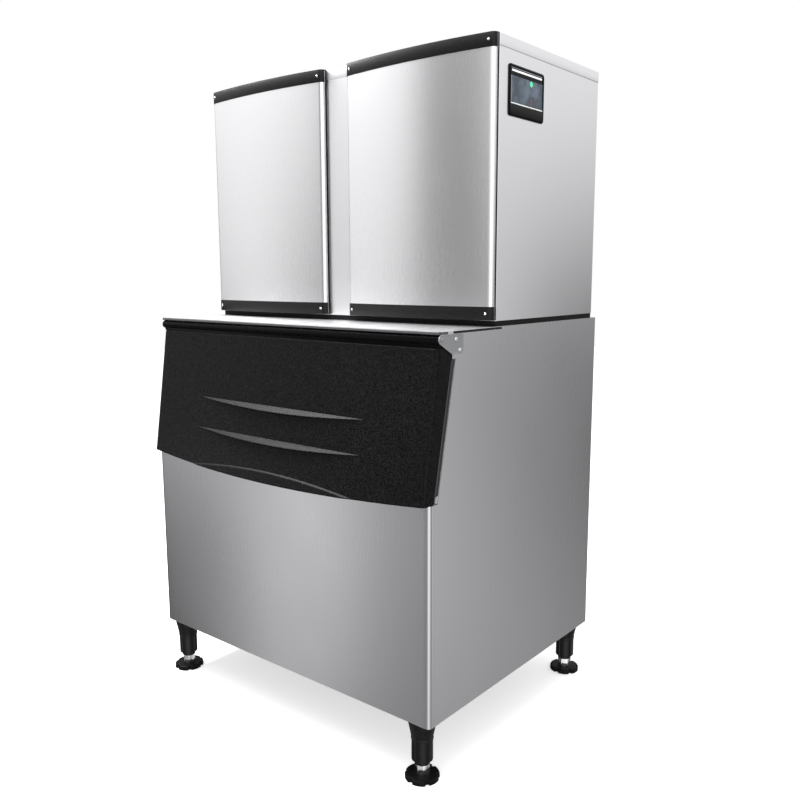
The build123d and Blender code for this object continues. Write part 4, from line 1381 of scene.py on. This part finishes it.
@dataclass
class Display:
    """Display let into the right side panel, with plain bars and two lamps on its pane."""

    face_x: float = 610.0
    centre: tuple[float, float] = (455.5, 1955.5)
    size: tuple[float, float] = (193.0, 141.0)
    border: float = 7.0
    bar: float = 27.0
    depth: float = 6.0
    outer_corner: float = 9.0
    inner_corner: float = 2.0
    pane_fit: float = 0.8
    pane_corner: float = 1.6
    pane_low: float = 0.2
    pane_height: float = 3.2
    mark_fit: float = 1.2
    mark_corner: float = 0.6
    mark_sink: float = 0.05
    marks: tuple[Mark, ...] = (
        Mark("band", DISPLAY_GLOSS, 0.5, 0.880, 1.0, 0.23),
        Mark("rim", MARK_GREY, 0.5, 0.970, 0.97, 0.018, 0.3),
        Mark("bar", MARK_WHITE, 0.5, 0.905, 0.93, 0.055, 0.3),
        Mark("line", MARK_WHITE, 0.5, 0.018, 1.0, 0.036, 0.3),
        Mark("edge", MARK_DIM, 0.965, 0.40, 0.045, 0.70),
        # side: a grey strip down the screen's front edge, a painted highlight for the lit bevel
        # there.
        Mark("side", MARK_GREY, 0.022, 0.40, 0.022, 0.76),
    )
    diamond: tuple[tuple[float, float], ...] = (
        (-10.0, 0.0), (-7.0, -4.6), (0.0, -9.0), (7.0, -4.6),
        (10.0, 0.0), (7.0, 4.6), (0.0, 9.0), (-7.0, 4.6),
    )
    green_place: tuple[float, float] = (23.5, 31.0)
    green_lift: float = 0.35
    spot: tuple[float, float, float] = (11.0, 20.0, 5.0)
    red_place: tuple[float, float] = (24.0, -18.0)
    red_lift: float = 0.2

    def on_face(self, outline: np.ndarray, shift: tuple[float, float], height: float) -> np.ndarray:
        """A flat outline as a loop on the side panel, shifted from the display's centre."""
        return at_x(outline + np.array(self.centre) + shift, self.face_x + height)

    def raised(self, outline: np.ndarray, shift: tuple[float, float], lift: float) -> Surface:
        """A flat mark that stands out of the pane by its lift."""
        heights = (self.pane_height - self.mark_sink, self.pane_height + lift)
        return loft(np.stack([self.on_face(outline, shift, height) for height in heights]))

    def frame(self, screen: tuple[float, float], up: tuple[float, float]) -> Surface:
        """The frame as a ring of loops, over its outer edge and down into the screen.

        Args:
            screen: width and height of the screen.
            up: shift of the screen's centre.

        Returns:
            A closed ring.
        """
        wide, tall = self.size
        outer = [(0.0, 0.0), (0.0, 2.6), (0.5, 3.3), (3.6, self.depth - 0.3), (4.8, self.depth)]
        inner = [(1.2, self.depth), (0.4, self.depth - 0.4), (0.0, self.depth - 1.2), (0.0, 0.0)]
        loops = []
        for into, height in outer:
            corner = self.outer_corner - into / 2
            edge = rounded_rectangle(wide - 2 * into, tall - 2 * into, corner)
            loops.append(self.on_face(edge, (0, 0), height))
        for out, height in inner:
            corner = self.inner_corner + out
            edge = rounded_rectangle(screen[0] + 2 * out, screen[1] + 2 * out, corner)
            loops.append(self.on_face(edge, up, height))
        return loft(np.stack(loops), ring=True)

    def build(self, bench: Bench) -> None:
        """Makes the frame, the screen and its marks.

        Args:
            bench: takes the pieces.
        """
        screen = (self.size[0] - 2 * self.border, self.size[1] - 2 * self.border - self.bar)
        up = (0.0, self.bar / 2)
        bench.add("display_bezel", self.frame(screen, up), DISPLAY_GLOSS, "cabinet",
                  "display_plastic", ("display_frame",), sharp=28.0)
        glass = rounded_rectangle(screen[0] - self.pane_fit, screen[1] - self.pane_fit,
                                  self.pane_corner)
        pane = np.stack([self.on_face(glass, up, z) for z in (self.pane_low, self.pane_height)])
        bench.add("display_pane", loft(pane), SCREEN_PANE, "cabinet", "display_glass",
                  ("display_screen",))
        low = (-screen[0] / 2, up[1] - screen[1] / 2)
        for mark in self.marks:
            wide, tall = (screen[0] - self.mark_fit) * mark.wide, screen[1] * mark.tall
            outline = rounded_rectangle(wide, tall, self.mark_corner, 3)
            place = (low[0] + screen[0] * mark.across, low[1] + screen[1] * mark.height)
            bench.add(f"display_{mark.name}", self.raised(outline, place, mark.lift), mark.finish,
                      "cabinet", "display_glass")
        green = self.raised(np.array(self.diamond), self.green_place, self.green_lift)
        bench.add("display_lamp_green", green, LAMP_GREEN, "cabinet", "display_glass")
        red = self.raised(rounded_rectangle(*self.spot), self.red_place, self.red_lift)
        bench.add("display_lamp_red", red, LAMP_RED, "cabinet", "display_glass")


@dataclass
class Leg:
    """One levelling leg: flared tube, hexagon stem and notched pad."""

    inset_x: float = 58.0
    half_width: float = 610.0
    places: tuple[tuple[str, float], ...] = (("front", 44.0), ("rear", 900.0))
    top: float = 184.0
    tube: float = 31.5
    pad: float = 51.0
    pad_height: float = 15.0
    notch: float = 7.0
    notches: int = 6
    first_notch: float = 25.0
    flats: float = 39.0
    stem_low: float = 16.0
    stem_top: float = 44.7
    shank: float = 12.0
    shank_top: float = 112.0
    pad_steps: int = 240
    stem_steps: int = 96

    def leg(self) -> Surface:
        """Leg as a turned profile, with a bead where the tube meets the cone.

        Returns:
            A closed ring.
        """
        r, top = self.tube, self.top
        profile = np.array([
            (12.3, 45.0), (22.0, 45.0), (23.0, 46.0), (23.0, 56.0), (22.6, 57.0), (30.0, 57.0),
            (r, 58.6), (r, 121.0), (r + 1.6, 123.0), (r + 2.0, 125.0), (r + 1.6, 127.0),
            (r + 0.6, 128.4), (r + 1.6, 133.0), (r + 5.0, 150.0), (r + 9.6, 172.0),
            (r + 10.5, 178.0), (r + 10.5, top - 0.6), (r + 10.0, top), (10.0, top), (12.3, 115.0),
        ])
        return loft(revolved(profile), ring=True)

    def foot(self) -> Surface:
        """Round pad: the radius is the smaller of the rim and the circles that notch it.

        Returns:
            The pad with the hub on it.
        """
        angle = directions(self.pad_steps)
        pitch = 2 * np.pi / self.notches
        away = (angle - math.radians(self.first_notch) + pitch / 2) % pitch - pitch / 2
        across = self.pad * np.sin(away)
        cut = self.pad * np.cos(away) - np.sqrt(np.maximum(self.notch ** 2 - across ** 2, 0))
        rim = np.where(np.abs(across) < self.notch, cut, self.pad)
        high = self.pad_height
        steps = [(2.0, 0.0), (0.4, 0.5), (0.0, 1.6), (0.0, 9.0), (0.5, 11.2), (2.0, 13.4),
                 (4.0, high - 0.4), (6.5, high)]
        hub = [(26.0, high + 0.2), (22.0, high + 1.2)]
        return loft(ring_loops(angle, [(rim - into, height) for into, height in steps] + hub))

    def stem(self) -> Surface:
        """Hexagon with its corners turned off, and the shank above it.

        Returns:
            A closed surface.
        """
        angle = directions(self.stem_steps)
        fold = np.abs((angle + np.pi / 6) % (np.pi / 3) - np.pi / 6)
        flat = self.flats / 2 / np.cos(fold)
        corner = self.flats / 2 / math.cos(math.pi / 6)
        end, side = np.minimum(flat, corner * 0.9), np.minimum(flat, corner * 0.995)
        low, high = self.stem_low, self.stem_top
        rings = [(end, low), (side, low + 2.2), (side, high - 2.2), (end, high),
                 (self.shank, high), (self.shank, self.shank_top)]
        return loft(ring_loops(angle, rings))

    def build(self, bench: Bench) -> None:
        """Makes the four legs.

        Args:
            bench: takes the pieces.
        """
        shapes = (("tube", self.leg(), LEG_PAINT, "leg", "leg_paint", 35.0),
                  ("stem_hex", self.stem(), STEM_CHROME, "foot_stem", "stem_chrome", 25.0),
                  ("pad_disc", self.foot(), PAD_RUBBER, "foot_pad", "pad_rubber", 40.0))
        for row, y in self.places:
            for side, sign in SIDES.items():
                corner = f"{row}_{side}"
                x = sign * (self.half_width - self.inset_x)
                for piece, shape, finish, node, slot, sharp in shapes:
                    body = "cabinet" if node == "leg" else f"foot_{corner}"
                    bench.add(f"{piece}_{corner}", shape.moved(x, y, 0), finish, body, slot,
                              (f"{node}_{corner}",), sharp=sharp)


# Studio


@dataclass
class Glow:
    """Soft patch of light or shade in the room around the object."""

    azimuth: float
    elevation: float
    strength: float
    focus: float

    def direction(self) -> tuple[float, float, float]:
        """Unit vector; azimuth 0 is -Y and 90 is -X, in degrees."""
        a, e = math.radians(self.azimuth), math.radians(self.elevation)
        return (-math.sin(a) * math.cos(e), -math.cos(a) * math.cos(e), math.sin(e))


@dataclass
class Softbox:
    """Square area light that shines at a point, in metres and watts."""

    name: str
    place: tuple[float, float, float]
    aim: tuple[float, float, float]
    side: float
    watts: float

    def build(self) -> None:
        """Makes the light, which the camera doesn't see."""
        lamp = bpy.data.lights.new(self.name, "AREA")
        lamp.shape = "RECTANGLE"
        lamp.size = lamp.size_y = self.side
        lamp.energy = self.watts
        made = bpy.data.objects.new(self.name, lamp)
        made.location = self.place
        way = Vector(self.aim) - Vector(self.place)
        made.rotation_euler = way.to_track_quat("-Z", "Y").to_euler()
        made.visible_camera = False
        bpy.context.scene.collection.objects.link(made)


@dataclass
class Studio:
    """Pale floor, white backdrop, soft light and the camera at the photograph's angle."""

    eye: tuple[float, float, float] = (1.90105, -1.69633, 1.44650)
    yaw: float = -0.6871
    pitch: float = -0.1526
    roll: float = -0.0035
    focal_pixels: float = 823.2
    picture: float = 800.0
    sensor: float = 36.0
    card: tuple[float, float, float, float, float] = (-0.95, 0.05, -1.92, 0.90, 3.20)
    card_light: float = 0.26
    floor_light: float = 0.45
    floor_tone: float = 0.93
    floor_radius: float = 14.0
    floor_gap: float = 0.0005
    dome_radius: float = 40.0
    dome_low: float = -60.0
    room_steps: int = 96
    low_light: float = 0.26
    high_light: float = 1.0
    least_light: float = 0.02
    horizon: tuple[float, float] = (-0.14, 0.27)
    glows: tuple[Glow, ...] = (
        Glow(50, -4, 0.42, 40.0),
        Glow(66, -4, 0.30, 40.0),
        Glow(45, -13, 1.15, 380.0),
        Glow(45, -20, 1.15, 380.0),
        Glow(45, -27, 1.05, 380.0),
        Glow(66, -21, -0.42, 50.0),
        Glow(125, 0, -1.00, 6.0),
        Glow(-45, -10, 1.30, 7.0),
        Glow(226, -8, 0.45, 50.0),
        Glow(226, -22, 0.52, 50.0),
        Glow(196, -12, -0.24, 30.0),
    )
    softboxes: tuple[Softbox, ...] = (
        Softbox("top_softbox", (0.6, -1.4, 4.2), (0.0, 0.0, 1.2), 2.4, 60.0),
        Softbox("left_softbox", (-1.95, -0.5, 3.7), (0.0, -0.5, 1.0), 1.4, 215.0),
    )

    def camera(self, bench: Bench) -> None:
        """Camera with the photograph's place, turn and focal length.

        Args:
            bench: knows where the bin's front lies.
        """
        lens = bpy.data.cameras.new("camera")
        lens.sensor_width = self.sensor
        lens.lens = self.focal_pixels * self.sensor / self.picture
        made = bpy.data.objects.new("camera", lens)
        ahead = Vector((
            math.sin(self.yaw) * math.cos(self.pitch),
            math.cos(self.yaw) * math.cos(self.pitch),
            math.sin(self.pitch),
        ))
        right = Vector((math.cos(self.yaw), -math.sin(self.yaw), 0.0))
        up = right.cross(ahead)
        turned_right = math.cos(self.roll) * right + math.sin(self.roll) * up
        turned_up = math.cos(self.roll) * up - math.sin(self.roll) * right
        turn = Matrix((turned_right, turned_up, -ahead)).transposed().to_4x4()
        place = Matrix.Translation(Vector(self.eye) + Vector((0, bench.front_y, 0)))
        made.matrix_world = place @ turn
        bpy.context.scene.collection.objects.link(made)
        bpy.context.scene.camera = made

    def world(self) -> None:
        """Room light: brighter above than below, with soft glows, each a power of a cosine."""
        world = bpy.data.worlds.new("room")
        bpy.context.scene.world = world
        wiring = Wiring(world, "World")
        way = wiring.node("TexCoord").outputs["Generated"]
        height = wiring.node("SeparateXYZ", Vector=way).outputs["Z"]
        total = wiring.ramp(height, self.low_light, self.high_light, *self.horizon, "SMOOTHSTEP")
        for glow in self.glows:
            dot = wiring.node("VectorMath", {"operation": "DOT_PRODUCT"})
            for socket, value in zip(dot.inputs, (way, glow.direction())):
                wiring.feed(socket, value)
            near = wiring.math("MAXIMUM", dot.outputs["Value"], 0.0)
            lobe = wiring.math("POWER", near, glow.focus)
            total = wiring.math("ADD", total, wiring.math("MULTIPLY", lobe, glow.strength))
        total = wiring.math("MAXIMUM", total, self.least_light)
        background = wiring.node("Background", Color=WHITE, Strength=total)
        wiring.feed(wiring.output.inputs["Surface"], background.outputs["Background"])

    def stage_piece(self, name: str, surface: Surface, tone: float, glow: float,
                    unseen: tuple[str, ...]) -> None:
        """Makes a matt piece of the room with a little light of its own.

        Args:
            name: of the piece.
            surface: its shape in metres.
            tone: of its grey, 0 to 1.
            glow: strength of its own light.
            unseen: kinds of ray that pass it by.
        """
        material = bpy.data.materials.new(name)
        Wiring(material, "Material").finish(
            Base_Color=(tone, tone, tone, 1.0), Roughness=1.0, Specular_IOR_Level=0.0,
            Emission_Color=WHITE, Emission_Strength=glow,
        )
        mesh = bpy.data.meshes.new(name)
        mesh.from_pydata(surface.points.tolist(), [], surface.quads.tolist() + surface.caps)
        mesh.materials.append(material)
        made = bpy.data.objects.new(name, mesh)
        bpy.context.scene.collection.objects.link(made)
        made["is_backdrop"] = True
        for ray in unseen:
            setattr(made, f"visible_{ray}", False)

    def room(self) -> None:
        """Floor that takes soft shadows, and a white dome that only the camera sees."""
        angle = directions(self.room_steps)
        disc = ring_loops(angle, [(1.0, 0.0)])[0] * self.floor_radius - (0, 0, self.floor_gap)
        floor = Surface(disc, np.zeros((0, 4), int), [list(range(len(angle)))])
        self.stage_piece("floor", floor, self.floor_tone, self.floor_light, ("glossy",))
        rise = np.radians(np.linspace(self.dome_low, 90, 30))
        dome = ring_loops(angle, [(np.cos(turn), np.sin(turn)) for turn in rise])
        self.stage_piece("backdrop", loft(dome * self.dome_radius), 0.0, 1.0,
                         ("glossy", "diffuse", "shadow", "transmission"))

    def flag(self) -> None:
        """Dark grey card in front of the machine, seen only in reflections."""
        x0, x1, y, z0, z1 = self.card
        corners = np.array([(x0, y, z0), (x1, y, z0), (x1, y, z1), (x0, y, z1)])
        card = Surface(corners, np.array([[0, 1, 2, 3]]))
        self.stage_piece("flag", card, 0.0, self.card_light,
                         ("camera", "diffuse", "shadow", "transmission"))

    def build(self, bench: Bench) -> None:
        """Sets up the whole studio.

        Args:
            bench: knows where the bin's front lies.
        """
        bpy.context.scene.view_settings.view_transform = "Standard"
        self.camera(bench)
        self.world()
        self.room()
        for softbox in self.softboxes:
            softbox.build()
        self.flag()


def main() -> None:
    """Builds every sub-assembly, dresses what is left and sets up the studio."""
    logging.basicConfig(level=logging.INFO, format="%(name)s: %(message)s", stream=sys.stdout)
    bench = Bench()
    assemblies = (Bin(), Door(), DeckTrim(), Hinges(), HeadFront(), HeadCase(), Display(), Leg())
    for assembly in assemblies:
        LOG.info("building %s", type(assembly).__name__)
        assembly.build(bench)
    bench.dress_nodes()
    Studio().build(bench)
    LOG.info("%d pieces beside the CAD nodes", bench.count)


if __name__ == "__main__":
    main()
